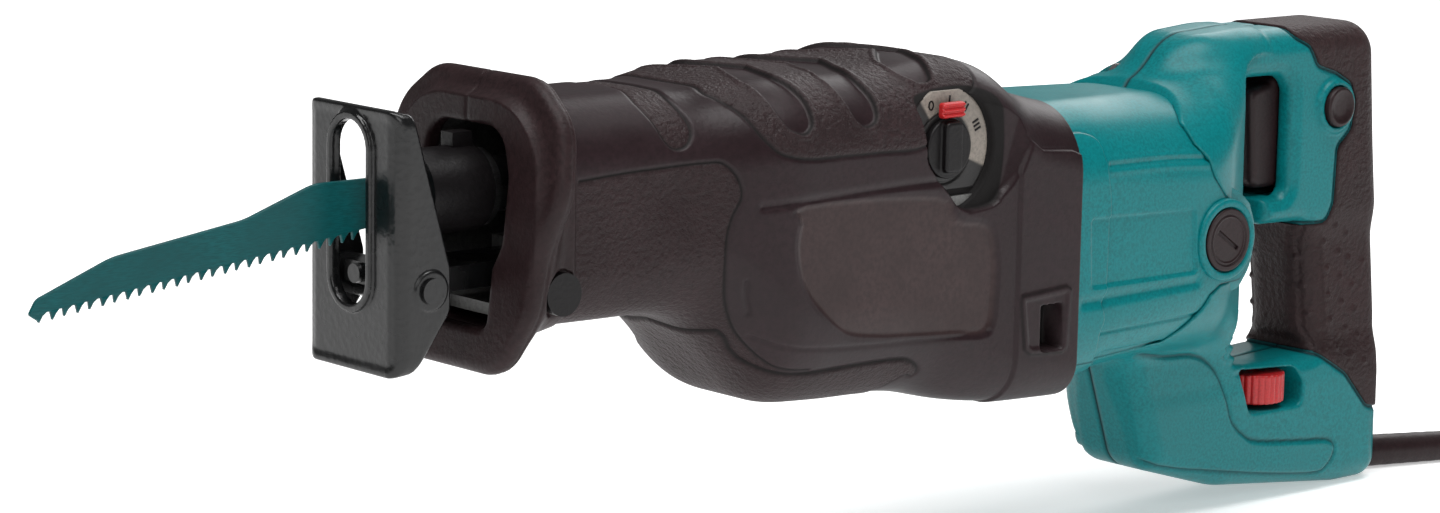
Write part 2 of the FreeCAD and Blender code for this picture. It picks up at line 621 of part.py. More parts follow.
# ---------------------------------------------------------------- D-handle
BACK_X = size("handle_back")
OUTLINE = [(350, 2, 10), (368, 27.5, 18), (480, 27.5, 16), (486, -45, 60), (BACK_X, -100, 60),
           (BACK_X - 1, -154.8, 10), (469, -154.8, 30), (398, -146, 50), (361, -138, 20), (340, -84, 10)]
LOOP = [(398, 10, 9), (428, 9.5, 8), (430.5, -37, 4), (437, -48, 8), (443, -97, 9), (397, -100, 10),
        (391, -72, 5), (396, -36, 10)]
FLARE = [
    (346, 10.5, -88, HALF - 1.6, 32, 30),
    (362, 13, -88, HALF - 4, 30, 30),
    (380, 20, -90, 34, 26, 24),
    (397, 25.5, -96, 24, 15, 15),
    (404, 27, -99, 20, 9, 9),
]
SEAM = [(300, 60), (349, 18), (357, 4), (373, -15), (381, -28), (394, -35), (401, -44), (399, -55),
        (387, -66), (371, -76), (356, -86), (330, -86), (300, -86)]
GRIP_AREA = [(432, 40), (452, 30, 4), (463, 8, 8), (467, -2, 10), (463, -14, 6), (453, -20, 8), (449, -44, 8),
             (430, -48), (420, -70), (420, -97), (441, -97, 3), (458, -102, 10), (476, -118, 10), (500, -126),
             (520, 0), (500, 40)]


def slab(points, inset, half, edge=0.0):
    """A side outline, drawn in by the inset, extruded to both sides of the middle plane."""
    wire = Part.Wire([item.toShape() for item in rounded(points)])
    if inset:
        wire = wire.makeOffset2D(-inset)
    stand = FreeCAD.Matrix(1, 0, 0, 0, 0, 0, -1, half, 0, 1, 0, 0, 0, 0, 0, 1)
    face = Part.Face(wire.transformGeometry(stand))
    block = face.extrude(V(0, -2 * half, 0))
    if edge:
        rims = [item for item in block.Edges if item.BoundBox.YLength < 0.01]
        block = block.makeFillet(edge, rims)
    return block


def handle_hull(inset):
    """The handle's outer form without its loop opening, drawn in by the inset."""
    edge = size("edge_round") - inset
    form = slab(OUTLINE, inset, size("handle_half") - inset, edge)
    base = side_prism([(330, -104), (500, -104), (500, -160), (330, -160)], -30, 30)
    form = form.fuse(slab(OUTLINE, inset, size("base_half") - inset, edge).common(base))
    flare = hull(FLARE, inset, None, FLARE[-1][0] - inset)
    return form.fuse(flare)


def loop_space(inset):
    return slab(LOOP, -inset, 60) if inset else slab(LOOP, 0, 60)


wall = size("shell_wall")
seam_space = side_prism(SEAM, -60, 60)
motor_space = hull(MOTOR, -0.25, None, size("motor_back") + 0.25)
bench = Part.makeBox(200, 60, 6, V(330, -30, -6 - size("axis_height")))
solid_handle = handle_hull(0).cut([loop_space(0), seam_space, motor_space, bench])
hollow = handle_hull(wall).cut([slab(LOOP, -wall, 60), slab([(p[0], p[1]) for p in SEAM], -wall, 60)])
hollow = hollow.cut(hull(MOTOR, -0.25 - wall, None, size("motor_back") + wall))
grip_layer = solid_handle.common(side_prism(GRIP_AREA, -60, 60))
grip_layer = grip_layer.cut(handle_hull(1.8).cut(slab(LOOP, -1.8, 60)))
frame = solid_handle.cut([hollow, grip_layer])

SCREWS = [(368, 12), (474, 14), (476, -112), (356, -122), (404, -138)]
columns = [rod_round(4.8, 80, (x, -40, z), AY).common(solid_handle) for x, z in SCREWS]
columns = [column.cut(grip_layer) for column in columns]
frame = frame.fuse(columns)
BAY = [(424, 17, 1), (447, 17, 1), (447, -37.5, 1), (424, -37.5, 1)]
TRIGGER_PIVOT = (436, 12.5)
button_x, button_z = size("button_x"), size("button_z")
dial_x, dial_y = size("dial_x"), size("dial_y")
guard_x, guard_z = size("guard_x"), size("guard_z")
WHEEL_Z = (-116.5, -105)
openings = [
    side_prism(BAY, -12.4, 12.4),
    rod_round(2, 31, (TRIGGER_PIVOT[0], -15.5, TRIGGER_PIVOT[1]), AY),
    rod_round(8.2, 14, (button_x, -25, button_z), AY),
    Part.makeBox(26, 24, WHEEL_Z[1] - WHEEL_Z[0] + 3, V(dial_x - 13, -30, WHEEL_Z[0] - 1.5)),
    rod_round(5, 20, (guard_x - 12, 0, guard_z), AX),
]
for x, z in SCREWS:
    openings.append(rod_round(1.9, 28, (x, -10, z), AY))
    openings.append(rod_round(3.9, 40, (x, 14, z), AY))
frame = frame.cut(openings)
button_boss = rod_round(11, 5.5, (button_x, -22, button_z), AY).cut(rod_round(8.2, 8, (button_x, -23, button_z), AY))
frame = frame.fuse(button_boss)
grip_layer = grip_layer.cut([rod_round(11.2, 10, (button_x, -24, button_z), AY),
                             rod_round(3.9, 40, (SCREWS[1][0], 14, SCREWS[1][1]), AY)])
near_side = Part.makeBox(300, 100, 300, V(300, -100, -200))
far_side = Part.makeBox(300, 100, 300, V(300, 0, -200))
finish(feature(frame.common(near_side)), "handle_left")
finish(feature(frame.common(far_side)), "handle_right")
finish(feature(grip_layer), "grip_cover")
handle_screws = []
for x, z in SCREWS:
    handle_screws.append(rod_round(1.9, 24, (x, -10, z), AY).fuse(rod_round(3.8, 2.5, (x, 14, z), AY)))
finish(feature(Part.makeCompound(handle_screws)), "handle_screws")

# ---------------------------------------------------------------- trigger, switch, buttons and speed wheel
TRIGGER = [(413, 5, 5), (425, 7), (432, 16.4, 1), (440, 16.4, 3), (440, -10, 3), (434, -33.5, 3), (416, -33.5, 6)]
pin_bore = cylinder("2 + run_gap", 30, TRIGGER_PIVOT[0], -15, TRIGGER_PIVOT[1], "Y")
finish(cut(prism(TRIGGER, -11.8, 11.8), pin_bore), "trigger")
finish(cylinder(2, 31, TRIGGER_PIVOT[0], -15.5, TRIGGER_PIVOT[1], "Y"), "trigger_pin")
finish(box((448, 470), (-11, 11), (-30, 8)), "switch_body")
finish(cylinder(7.8, 8, "button_x", -24, "button_z", "Y"), "lock_on_button")
wheel = cylinder("dial_radius", WHEEL_Z[1] - WHEEL_Z[0], "dial_x", "dial_y", WHEEL_Z[0], "Z")
wheel = cut(wheel, cylinder("2.5 + run_gap", 20, "dial_x", "dial_y", -120, "Z"))
finish(wheel, "speed_wheel")
controller = box(("dial_x - 15", "dial_x + 18"), (-16, 10), (-136, -119))
spindle = cylinder(2.5, 12, "dial_x", "dial_y", -119.5, "Z")
finish(fuse(controller, spindle), "speed_controller")

# ---------------------------------------------------------------- cord, its guard, coil and plug
GUARD_TURN = -18
GUARD_LENGTH = 58
GUARD_DROP = 1
finish(box((462, 470), (-13, 13), (-144, -140)), "cord_clamp")
heading = V(math.cos(math.radians(GUARD_TURN)), math.sin(math.radians(GUARD_TURN)), 0)
guard_start = V(guard_x, 0, guard_z)
guard_end = guard_start + heading * GUARD_LENGTH - V(0, 0, GUARD_DROP)
along_guard = guard_end - guard_start
collar = Part.makeCylinder(5, 15, V(guard_x - 12, 0, guard_z), AX)
taper = Part.makeCone(6.5, 5.2, along_guard.Length, guard_start, along_guard)
outside = Part.makeSphere(6.5, guard_start).fuse(taper)
outside = outside.cut(Part.makeBox(20, 20, 20, V(BACK_X - 20.6, -10, guard_z - 10)))
finish(feature(collar.fuse(outside)), "cord_guard")

radius = size("cord_radius")
ROWS, LAYERS = 4, 2
SURFACE = -size("axis_height")
FLOOR_Z = SURFACE + radius
outer_turn = size("coil_mean") + (ROWS - 1) * radius
lead_end = guard_end + heading * 100
lead_end.z = FLOOR_Z
side = V(-heading.y, heading.x, 0)
coil_axis = V(lead_end.x, lead_end.y, 0) + side * outer_turn
LEAD = [(22, -1.2, 0.9), (50, -1.9, 0.2), (77, -1.4, 0), (100, 0, 0)]
ROUTE = [guard_end]
for along, across, lift in LEAD:
    spot = guard_end + heading * along + side * across
    ROUTE.append(V(spot.x, spot.y, FLOOR_Z + lift))
PLUG_HEIGHT = 20
TAIL_FROM, TAIL_STEP, TAIL_RADIUS = 0, 11.5, 46
TAIL_RISE = (0, 1.2, 4.6, 7.4, 9.4, 12.4, 14)


def spoke(angle):
    """A unit vector out from the coil's axis, turning the way that the cord winds."""
    return heading * math.sin(math.radians(angle)) - side * math.cos(math.radians(angle))


tail_axis = coil_axis + spoke(TAIL_FROM) * (outer_turn - TAIL_RADIUS)
TAIL_CORNER = TAIL_RADIUS / math.cos(math.radians(TAIL_STEP))
TAIL_TURNS = (1, 3, 5, 7, 9)
TAIL_END = TAIL_FROM + TAIL_STEP * (TAIL_TURNS[-1] + 1)
half_run = TAIL_RADIUS * math.tan(math.radians(TAIL_STEP))
TAIL = [tail_axis + spoke(TAIL_FROM) * TAIL_RADIUS - spoke(TAIL_FROM + 90) * half_run]
TAIL += [tail_axis + spoke(TAIL_FROM + TAIL_STEP * turn) * TAIL_CORNER for turn in TAIL_TURNS]
TAIL.append(tail_axis + spoke(TAIL_END) * TAIL_RADIUS + spoke(TAIL_END + 90) * half_run)
for point, rise in zip(TAIL, TAIL_RISE):
    point.z = FLOOR_Z + 2 * radius * (LAYERS - 1) + rise


def soft_path(points):
    """Straight runs joined by tangent arcs, as large as the runs allow."""
    edges = []
    start = points[0]
    for index in range(1, len(points) - 1):
        here = points[index]
        before = points[index - 1] - here
        after = points[index + 1] - here
        shorter = min(before.Length, after.Length)
        turn = math.pi - before.getAngle(after)
        step = 0.45 * shorter
        arc_radius = step / math.tan(turn / 2)
        before.normalize()
        after.normalize()
        middle = before + after
        middle.normalize()
        depth = arc_radius / math.cos(turn / 2) - arc_radius
        first, last = here + before * step, here + after * step
        print("cord arc radius", round(arc_radius, 1))
        edges.append(Part.LineSegment(start, first).toShape())
        edges.append(Part.Arc(first, here + middle * depth, last).toShape())
        start = last
    edges.append(Part.LineSegment(start, points[-1]).toShape())
    return Part.Wire(edges)


def cord_tube(points, label):
    path = soft_path(points)
    ring = Part.Wire([Part.makeCircle(radius, points[0], points[1] - points[0])])
    run = path.makePipeShell([ring], True, False)
    print(label, "volume against section times length",
          round(run.Volume / (math.pi * radius ** 2 * path.Length), 4))
    return finish(feature(run), label)


cord_tube(ROUTE, "power_cord")
cord_tube(TAIL, "cord_tail")
coil_base = V(coil_axis.x, coil_axis.y, SURFACE)
coil = Part.makeCylinder(outer_turn + radius, 2 * radius * LAYERS, coil_base)
coil = coil.cut(Part.makeCylinder(outer_turn + radius - 2 * radius * ROWS, 2 * radius * LAYERS, coil_base))
finish(feature(coil), "cord_coil")

PLUG_LENGTH, PLUG_WIDTH = 42, 34
PIN_LENGTH, PIN_RADIUS, PIN_SPREAD = 19, 2.4, 19
plug_way = TAIL[-1] - TAIL[-2]
plug_way.z = 0
plug_way.normalize()
plug_turn = FreeCAD.Rotation(AX, plug_way)
plug_body = Part.makeBox(PLUG_LENGTH, PLUG_WIDTH, PLUG_HEIGHT, V(0, -PLUG_WIDTH / 2, -PLUG_HEIGHT / 2))
plug_body = plug_body.makeFillet(6, plug_body.Edges)
neck = Part.makeCone(5.5, 7.5, 12, V(-8, 0, 0), AX)
plug_body = plug_body.fuse(neck)
plug_pins = Part.makeCompound([
    Part.makeCylinder(PIN_RADIUS, PIN_LENGTH, V(PLUG_LENGTH, sign * PIN_SPREAD / 2, 0), AX) for sign in (-1, 1)])
for shape, label in ((plug_body, "power_plug"), (plug_pins, "plug_pins")):
    moved = shape.copy()
    moved.Placement = FreeCAD.Placement(TAIL[-1] + plug_way * 8, plug_turn)
    finish(feature(Part.makeCompound([moved])), label)

# ---------------------------------------------------------------- checks and export
doc.recompute()
os.makedirs("parts", exist_ok=True)
for item in doc.Objects:
    if "Invalid" in item.State or "Error" in item.State:
        raise SystemExit(f"{item.Name} ({item.Label}) failed: {item.State}")
for item in sub_parts:
    if item.Shape.isNull() or not item.Shape.isValid() or item.Shape.Volume <= 0:
        raise SystemExit(f"{item.Label} has no valid shape")
for item in sub_parts:
    item.Shape.exportStep(f"parts/{item.Label}.step")
    print(f"{item.Label:22s} {item.Shape.Volume / 1000:9.2f} cm3  solids {len(item.Shape.Solids)}")
print(len(sub_parts), "sub-parts")
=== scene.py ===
"""Visual model of the reciprocating saw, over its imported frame.

Shapes are worked out in millimetres in the tool's own frame: X runs back from the shoe's front
face, Y across the tool, and Z up from the stroke axis. place() turns them into the row frame.
"""
import json
import math
import bpy
import numpy as np
from mathutils import Matrix, Vector


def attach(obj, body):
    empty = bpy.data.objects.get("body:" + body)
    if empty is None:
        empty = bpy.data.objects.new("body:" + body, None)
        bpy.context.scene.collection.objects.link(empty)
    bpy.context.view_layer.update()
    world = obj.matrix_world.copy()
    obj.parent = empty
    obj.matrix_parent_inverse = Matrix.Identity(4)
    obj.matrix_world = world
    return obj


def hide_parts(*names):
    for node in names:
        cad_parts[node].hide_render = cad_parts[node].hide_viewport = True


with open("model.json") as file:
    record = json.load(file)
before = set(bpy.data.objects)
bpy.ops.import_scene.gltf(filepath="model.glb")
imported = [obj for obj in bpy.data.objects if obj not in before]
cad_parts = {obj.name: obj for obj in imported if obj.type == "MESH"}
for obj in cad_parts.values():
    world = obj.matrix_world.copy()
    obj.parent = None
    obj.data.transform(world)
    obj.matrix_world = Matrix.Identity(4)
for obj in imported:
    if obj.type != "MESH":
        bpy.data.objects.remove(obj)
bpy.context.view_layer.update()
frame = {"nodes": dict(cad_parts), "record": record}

SHIFT = np.array([-186.7, 0.0, 154.5])  # from the tool's frame to the row frame
DIAL_X, DIAL_Z = 220.5, 3.0  # axis of the mode dial
NEAR, FAR = -1, 1  # sides of the tool, seen from the photo's camera
REACH = 8.0  # distances to drawn lines are worked out up to here


def place(points):
    """Tool millimetres to row-frame metres."""
    return (np.asarray(points, float) + SHIFT) / 1000


def linked(name, data):
    """A new object in the scene."""
    made = bpy.data.objects.new(name, data)
    bpy.context.scene.collection.objects.link(made)
    return made


# --- camera
ROLL = math.radians(1.018)
ahead = Vector((0.65416, 0.73639, -0.17267)).normalized()
level = Vector((0.74762, -0.66413, 0)).normalized()
upright = level.cross(ahead)
right = level * math.cos(ROLL) + upright * math.sin(ROLL)
above = upright * math.cos(ROLL) - level * math.sin(ROLL)
camera_data = bpy.data.cameras.new("camera")
camera = linked("camera", camera_data)
camera_data.sensor_fit = "HORIZONTAL"
camera_data.sensor_width = 36
camera_data.lens = 98.49
camera_data.clip_start = 0.05
camera.matrix_world = Matrix((
    (right.x, above.x, -ahead.x, -0.90929),
    (right.y, above.y, -ahead.y, -0.98849),
    (right.z, above.z, -ahead.z, 0.35225),
    (0, 0, 0, 1),
))
bpy.context.scene.camera = camera


# --- materials
def socket_ramp(nodes, links, source, low, high, at=(0.3, 0.7)):
    """A socket's values between the two in `at`, spread from low to high."""
    ramp = nodes.new("ShaderNodeMapRange")
    ramp.inputs["From Min"].default_value, ramp.inputs["From Max"].default_value = at
    ramp.inputs["To Min"].default_value, ramp.inputs["To Max"].default_value = low, high
    links.new(source, ramp.inputs["Value"])
    return ramp.outputs["Result"]


def finish_of(name, colour, rough=(0.35, 0.5), metal=0.0, grain=(900, 0.15), fleck=0.12, blotch=40,
              coat=0.0, specular=0.5, brushed=None, masks=None, cells=None):
    """A procedural finish: uneven colour and gloss, fine grain, and masks from the mesh.

    grain: (noise scale, bump strength); brushed: stretch of the grain; cells: scale of pebbling
    masks: {attribute: (colour, roughness, grain strength)} where the attribute is one
    """
    made = bpy.data.materials.new(name)
    made.use_nodes = True
    nodes, links = made.node_tree.nodes, made.node_tree.links
    shader = nodes["Principled BSDF"]
    spot = nodes.new("ShaderNodeTexCoord").outputs["Object"]
    fine_spot = spot
    if brushed:
        stretch = nodes.new("ShaderNodeMapping")
        stretch.inputs["Scale"].default_value = brushed
        links.new(spot, stretch.inputs["Vector"])
        fine_spot = stretch.outputs["Vector"]

    def noise(where, scale, roughness):
        node = nodes.new("ShaderNodeTexNoise")
        node.inputs["Scale"].default_value = scale
        node.inputs["Detail"].default_value = 3
        node.inputs["Roughness"].default_value = roughness
        links.new(where, node.inputs["Vector"])
        return node.outputs["Fac"]

    def ramp(source, low, high, at=(0.3, 0.7)):
        return socket_ramp(nodes, links, source, low, high, at)

    def mixed(factor, first, second, kind="RGBA"):
        """A mix of two colours or two numbers, each a value or a socket."""
        node = nodes.new("ShaderNodeMix")
        node.data_type = kind
        links.new(factor, node.inputs["Factor"])
        first_input, output = (6, 2) if kind == "RGBA" else (2, 0)
        for key, value in enumerate((first, second), first_input):
            if isinstance(value, bpy.types.NodeSocket):
                links.new(value, node.inputs[key])
            else:
                node.inputs[key].default_value = (*value, 1) if kind == "RGBA" else value
        return node.outputs[output]

    broad = noise(spot, blotch, 0.55)
    fine = noise(fine_spot, grain[0], 0.6)

    def tinted(base):
        """The base colour, clouded by the broad noise and pitted by the fine one."""
        dark = tuple(c * (1 - fleck) for c in base)
        pale = tuple(min(1, c * (1 + fleck) + 0.01 * fleck) for c in base)
        pit = tuple(c * 0.45 for c in base)
        cloudy = mixed(ramp(broad, 0, 1), dark, pale)
        pitted = mixed(ramp(fine, 0.65, 0, (0.36, 0.6)), cloudy, pit)
        return mixed(ramp(broad, 0.5, 0.9), cloudy, pitted)

    paint = tinted(colour)
    gloss = ramp(broad, *rough)
    strength = grain[1]
    for attribute, (other, other_rough, other_grain) in (masks or {}).items():
        flag = nodes.new("ShaderNodeAttribute")
        flag.attribute_name = attribute
        paint = mixed(flag.outputs["Fac"], paint, tinted(other))
        gloss = mixed(flag.outputs["Fac"], gloss, other_rough, "FLOAT")
        strength = mixed(flag.outputs["Fac"], strength, other_grain, "FLOAT")
    height = fine
    if cells:
        pebble = nodes.new("ShaderNodeTexVoronoi")
        pebble.inputs["Scale"].default_value = cells
        links.new(spot, pebble.inputs["Vector"])
        joined = nodes.new("ShaderNodeMath")
        joined.operation = "ADD"
        links.new(fine, joined.inputs[0])
        links.new(pebble.outputs["Distance"], joined.inputs[1])
        height = joined.outputs[0]
    bump = nodes.new("ShaderNodeBump")
    bump.inputs["Distance"].default_value = 0.001
    bump.inputs["Strength"].default_value = grain[1]
    if masks:
        links.new(strength, bump.inputs["Strength"])
    links.new(height, bump.inputs["Height"])
    links.new(bump.outputs["Normal"], shader.inputs["Normal"])
    links.new(paint, shader.inputs["Base Color"])
    links.new(gloss, shader.inputs["Roughness"])
    for key, value in (("Metallic", metal), ("Specular IOR Level", specular), ("Coat Weight", coat),
                       ("Coat Roughness", 0.25)):
        shader.inputs[key].default_value = value
    return made


# The line mask paints shade into the seams and grooves: painted shade, near-black teal.
TEAL = finish_of("teal_moulding", (0.0, 0.175, 0.188), (0.3, 0.4), grain=(900, 0.04), fleck=0.04,
                 specular=0.22,
                 masks={"line": ((0.0, 0.014, 0.018), 0.6, 0.05)})
# The line mask paints shade into the seams and grooves, the port's floor and the dial recess:
# painted shade, near-black.
RUBBER = finish_of("boot_rubber", (0.017, 0.0075, 0.0095), (0.36, 0.48), grain=(520, 0.1),
                   fleck=0.2, specular=0.24,
                   masks={"grain": ((0.021, 0.0098, 0.011), 0.5, 1.0),
                          "panel": ((0.035, 0.0195, 0.0195), 0.38, 0.05),
                          "line": ((0.0025, 0.0015, 0.0015), 0.7, 0.1)})
GRIP = finish_of("grip_rubber", (0.023, 0.0098, 0.0105), (0.48, 0.6), grain=(520, 0.8), fleck=0.25,
                 specular=0.24)
GUARD = finish_of("guard_rubber", (0.019, 0.0085, 0.0095), (0.4, 0.52), grain=(520, 0.25),
                  fleck=0.25, specular=0.2)
BLACK = finish_of("black_moulding", (0.004, 0.003, 0.0035), (0.34, 0.46), grain=(700, 0.15),
                  fleck=0.2, specular=0.25)
BROWN = finish_of("brown_moulding", (0.017, 0.0075, 0.0085), (0.34, 0.46), grain=(700, 0.15),
                  fleck=0.2, specular=0.25)
SHOE = finish_of("shoe_coat", (0.003, 0.0032, 0.0035), (0.2, 0.34), grain=(500, 0.1), fleck=0.3,
                 coat=0.35,
                 specular=0.3, cells=420)
BLADE = finish_of("blade_coat", (0.0, 0.075, 0.08), (0.3, 0.42), specular=0.2, grain=(300, 0.06),
                  fleck=0.16,
                  brushed=(1, 1, 9))
RED = finish_of("red_moulding", (0.48, 0.012, 0.014), (0.3, 0.4), grain=(1300, 0.12), fleck=0.1)
GREY = finish_of("grey_plate", (0.24, 0.21, 0.18), (0.4, 0.5), grain=(900, 0.1), fleck=0.15,
                 masks={"line": ((0.006, 0.005, 0.005), 0.45, 0.1)})
STEEL = finish_of("ground_steel", (0.42, 0.42, 0.43), (0.22, 0.38), metal=1.0, grain=(500, 0.12),
                  fleck=0.12,
                  brushed=(1, 8, 8))
CAST = finish_of("cast_aluminium", (0.2, 0.2, 0.195), (0.45, 0.62), metal=0.9, grain=(600, 0.3),
                 fleck=0.18)
LAMINATED = finish_of("laminated_steel", (0.2, 0.2, 0.21), (0.35, 0.5), metal=1.0, grain=(60, 0.6),
                      fleck=0.2,
                      brushed=(22, 1, 1))
COPPER = finish_of("copper", (0.62, 0.27, 0.13), (0.25, 0.4), metal=1.0, grain=(500, 0.2),
                   fleck=0.15)
NICKEL = finish_of("nickel_plate", (0.62, 0.6, 0.55), (0.14, 0.24), metal=1.0, grain=(700, 0.06),
                   fleck=0.05)
CORD = finish_of("cord_jacket", (0.022, 0.015, 0.015), (0.42, 0.54), grain=(1100, 0.25), fleck=0.15)
FINISHES = {
    "teal_housing": TEAL, "brown_rubber": RUBBER, "guard_plastic": BROWN, "black_plastic": BLACK,
    "red_plastic": RED, "grey_plastic": GREY, "shoe_coat": SHOE, "blade_coat": BLADE,
            "steel": STEEL,
    "cast_aluminium": CAST, "laminated_steel": LAMINATED, "copper": COPPER, "nickel": NICKEL,
}


# --- meshes
def mesh_piece(name, points, faces, body, finish, replaced=(), masks=None):
    """A smooth-shaded piece from tool-frame points and quads."""
    mesh = bpy.data.meshes.new(name)
    faces = np.asarray(faces, np.int32)
    mesh.vertices.add(len(points))
    mesh.vertices.foreach_set("co", place(points).astype(np.float32).ravel())
    mesh.loops.add(faces.size)
    mesh.loops.foreach_set("vertex_index", faces.ravel())
    mesh.polygons.add(len(faces))
    mesh.polygons.foreach_set("loop_start", np.arange(0, faces.size, faces.shape[1],
                                                      dtype=np.int32))
    mesh.polygons.foreach_set("use_smooth", np.ones(len(faces), bool))
    mesh.update(calc_edges=True)
    mesh.validate()
    for key, values in (masks or {}).items():
        attribute = mesh.attributes.new(key, "FLOAT", "POINT")
        attribute.data.foreach_set("value", np.asarray(values, np.float32).ravel())
    mesh.materials.append(finish)
    piece = linked(name, mesh)
    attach(piece, body)
    if replaced:
        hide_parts(*replaced)
    return piece


CORNERS = np.array([(i, j, k) for i in (0, 1) for j in (0, 1) for k in (0, 1)])
CELL_EDGES = [(a, b) for a in range(8) for b in range(a + 1, 8)
              if np.abs(CORNERS[a] - CORNERS[b]).sum() == 1]


def surface_net(field, low, high, cell, settle=1):
    """Points and quads of the surface on which a field is zero; the field is negative inside."""
    axes = [np.arange(a, b + cell, cell) for a, b in zip(low, high)]
    x, y, z = np.ix_(*axes)
    values = np.ascontiguousarray(np.broadcast_to(field(x, y, z), [len(a) for a in axes]),
                                  dtype=np.float32)
    solid = values < 0
    count = np.zeros([len(a) - 1 for a in axes], np.int8)
    for i, j, k in CORNERS:
        count += solid[i:i + count.shape[0], j:j + count.shape[1], k:k + count.shape[2]]
    active = (count > 0) & (count < 8)
    index = np.full(count.shape, -1, np.int32)
    cells = np.argwhere(active)
    index[active] = np.arange(len(cells))
    total, hits = np.zeros((len(cells), 3)), np.zeros(len(cells))
    held = [values[tuple((cells + corner).T)] for corner in CORNERS]
    for a, b in CELL_EDGES:
        crossed = (held[a] < 0) != (held[b] < 0)
        share = held[a][crossed] / (held[a][crossed] - held[b][crossed])
        total[crossed] += CORNERS[a] + share[:, None] * (CORNERS[b] - CORNERS[a])
        hits[crossed] += 1
    points = np.array(low) + (cells + total / hits[:, None]) * cell
    faces = []
    for axis in range(3):
        u, v = (axis + 1) % 3, (axis + 2) % 3
        here = np.take(solid, np.arange(len(axes[axis]) - 1), axis)
        there = np.take(solid, np.arange(1, len(axes[axis])), axis)
        spots = np.argwhere(here != there)
        spots = spots[(spots[:, u] > 0) & (spots[:, v] > 0)]
        spots = spots[(spots[:, u] < count.shape[u]) & (spots[:, v] < count.shape[v])]
        outward = here[tuple(spots.T)]
        ring = []
        for du, dv in ((-1, -1), (0, -1), (0, 0), (-1, 0)):
            other = spots.copy()
            other[:, u] += du
            other[:, v] += dv
            ring.append(index[tuple(other.T)])
        ring = np.stack(ring, 1)
        ring[~outward] = ring[~outward][:, ::-1]
        faces.append(ring)
    faces = np.concatenate(faces)
    for _ in range(settle):
        step, slope = 0.15, []
        for axis in range(3):
            move = np.zeros(3)
            move[axis] = step
            ahead_of, behind = (points + move).T, (points - move).T
            slope.append((field(*ahead_of) - field(*behind)) / (2 * step))
        slope = np.stack(slope, 1)
        size = np.maximum((slope ** 2).sum(1), 0.25)
        moved = np.clip(field(*points.T) / size, -0.6 * cell, 0.6 * cell)
        points = points - slope * moved[:, None]
    return points, faces


def normals_of(points, faces):
    """Unit normals at the points, from the quads around them."""
    a, b, c, d = (points[faces[:, i]] for i in range(4))
    face = np.cross(c - a, d - b)
    total = np.zeros_like(points)
    for i in range(4):
        np.add.at(total, faces[:, i], face)
    return total / np.maximum(np.linalg.norm(total, axis=1, keepdims=True), 1e-9)


# --- fields
def soft_min(a, b, k):
    """The smaller of two fields, blended over k."""
    h = np.clip(0.5 + 0.5 * (b - a) / k, 0, 1)
    return b + (a - b) * h - k * h * (1 - h)


def soft_max(a, b, k):
    return -soft_min(-a, -b, k)


def eased(value, low, high):
    """0 below low, 1 above high, and an S between."""
    t = np.clip((value - low) / (high - low), 0, 1)
    return t * t * (3 - 2 * t)


def edged(a, b, r):
    """Two distances that meet in an edge rounded to r."""
    a, b = a + r, b + r
    return np.minimum(np.maximum(a, b), 0) + np.hypot(np.maximum(a, 0), np.maximum(b, 0)) - r


def arcs(points, pieces=7):
    """A closed outline from (u, v) or (u, v, corner radius) points."""
    made = []
    for index, point in enumerate(points):
        here = np.array(point[:2], float)
        if len(point) == 2:
            made.append(here)
            continue
        before = np.array(points[index - 1][:2], float) - here
        after = np.array(points[(index + 1) % len(points)][:2], float) - here
        before /= np.linalg.norm(before)
        after /= np.linalg.norm(after)
        half = math.acos(np.clip(before @ after, -1, 1)) / 2
        start, end = (here + way * point[2] / math.tan(half) for way in (before, after))
        middle = (before + after) / np.linalg.norm(before + after)
        centre = here + middle * point[2] / math.sin(half)
        for share in np.linspace(0, 1, pieces):
            way = start + (end - start) * share - centre
            made.append(centre + way / np.linalg.norm(way) * point[2])
    return np.array(made)


def curved(points, closed=True, steps=4):
    """A smooth line through the points."""
    p = np.array(points, float)
    if closed:
        p = np.concatenate([p[-1:], p, p[:2]])
    else:
        p = np.concatenate([2 * p[:1] - p[1:2], p, 2 * p[-1:] - p[-2:-1]])
    made = []
    for a, b, c, d in zip(p, p[1:], p[2:], p[3:]):
        for t in np.arange(steps) / steps:
            made.append(0.5 * (2 * b + (c - a) * t + (2 * a - 5 * b + 4 * c - d) * t * t
                               + (3 * b - a - 3 * c + d) * t ** 3))
    if not closed:
        made.append(p[-2])
    return np.array(made)


def line_distance(points, u, v, closed=False):
    """Distance to a line of (u, v) points."""
    u, v = np.broadcast_arrays(u, v)
    best = np.full(u.shape, 1e6)
    ends = np.roll(points, -1, 0) if closed else points[1:]
    for a, b in zip(points, ends):
        e = b - a
        long = max(e @ e, 1e-12)
        t = np.clip(((u - a[0]) * e[0] + (v - a[1]) * e[1]) / long, 0, 1)
        best = np.minimum(best, (u - a[0] - t * e[0]) ** 2 + (v - a[1] - t * e[1]) ** 2)
    return np.sqrt(best)


def area(points, u, v):
    """Signed distance to a closed outline, negative inside."""
    u, v = np.broadcast_arrays(u, v)
    inside = np.zeros(u.shape, bool)
    for a, b in zip(points, np.roll(points, -1, 0)):
        if a[1] != b[1]:
            between = (a[1] > v) != (b[1] > v)
            inside ^= between & (u < a[0] + (b[0] - a[0]) * (v - a[1]) / (b[1] - a[1]))
    far = line_distance(points, u, v, True)
    return np.where(inside, -far, far)


def near_area(points, u, v, distance=area):
    """A distance that is worked out only within REACH of the outline or line."""
    low, high = points.min(0) - REACH, points.max(0) + REACH
    close = (u > low[0]) & (u < high[0]) & (v > low[1]) & (v < high[1])
    made = np.full(u.shape, REACH)
    made[close] = np.minimum(distance(points, u[close], v[close]), REACH)
    return made


def near_line(points, u, v):
    return near_area(points, u, v, line_distance)


def groove(distance, width, depth):
    """The offset of a groove along a line, to be added to a surface."""
    return -depth * np.exp(-(distance / width) ** 2)


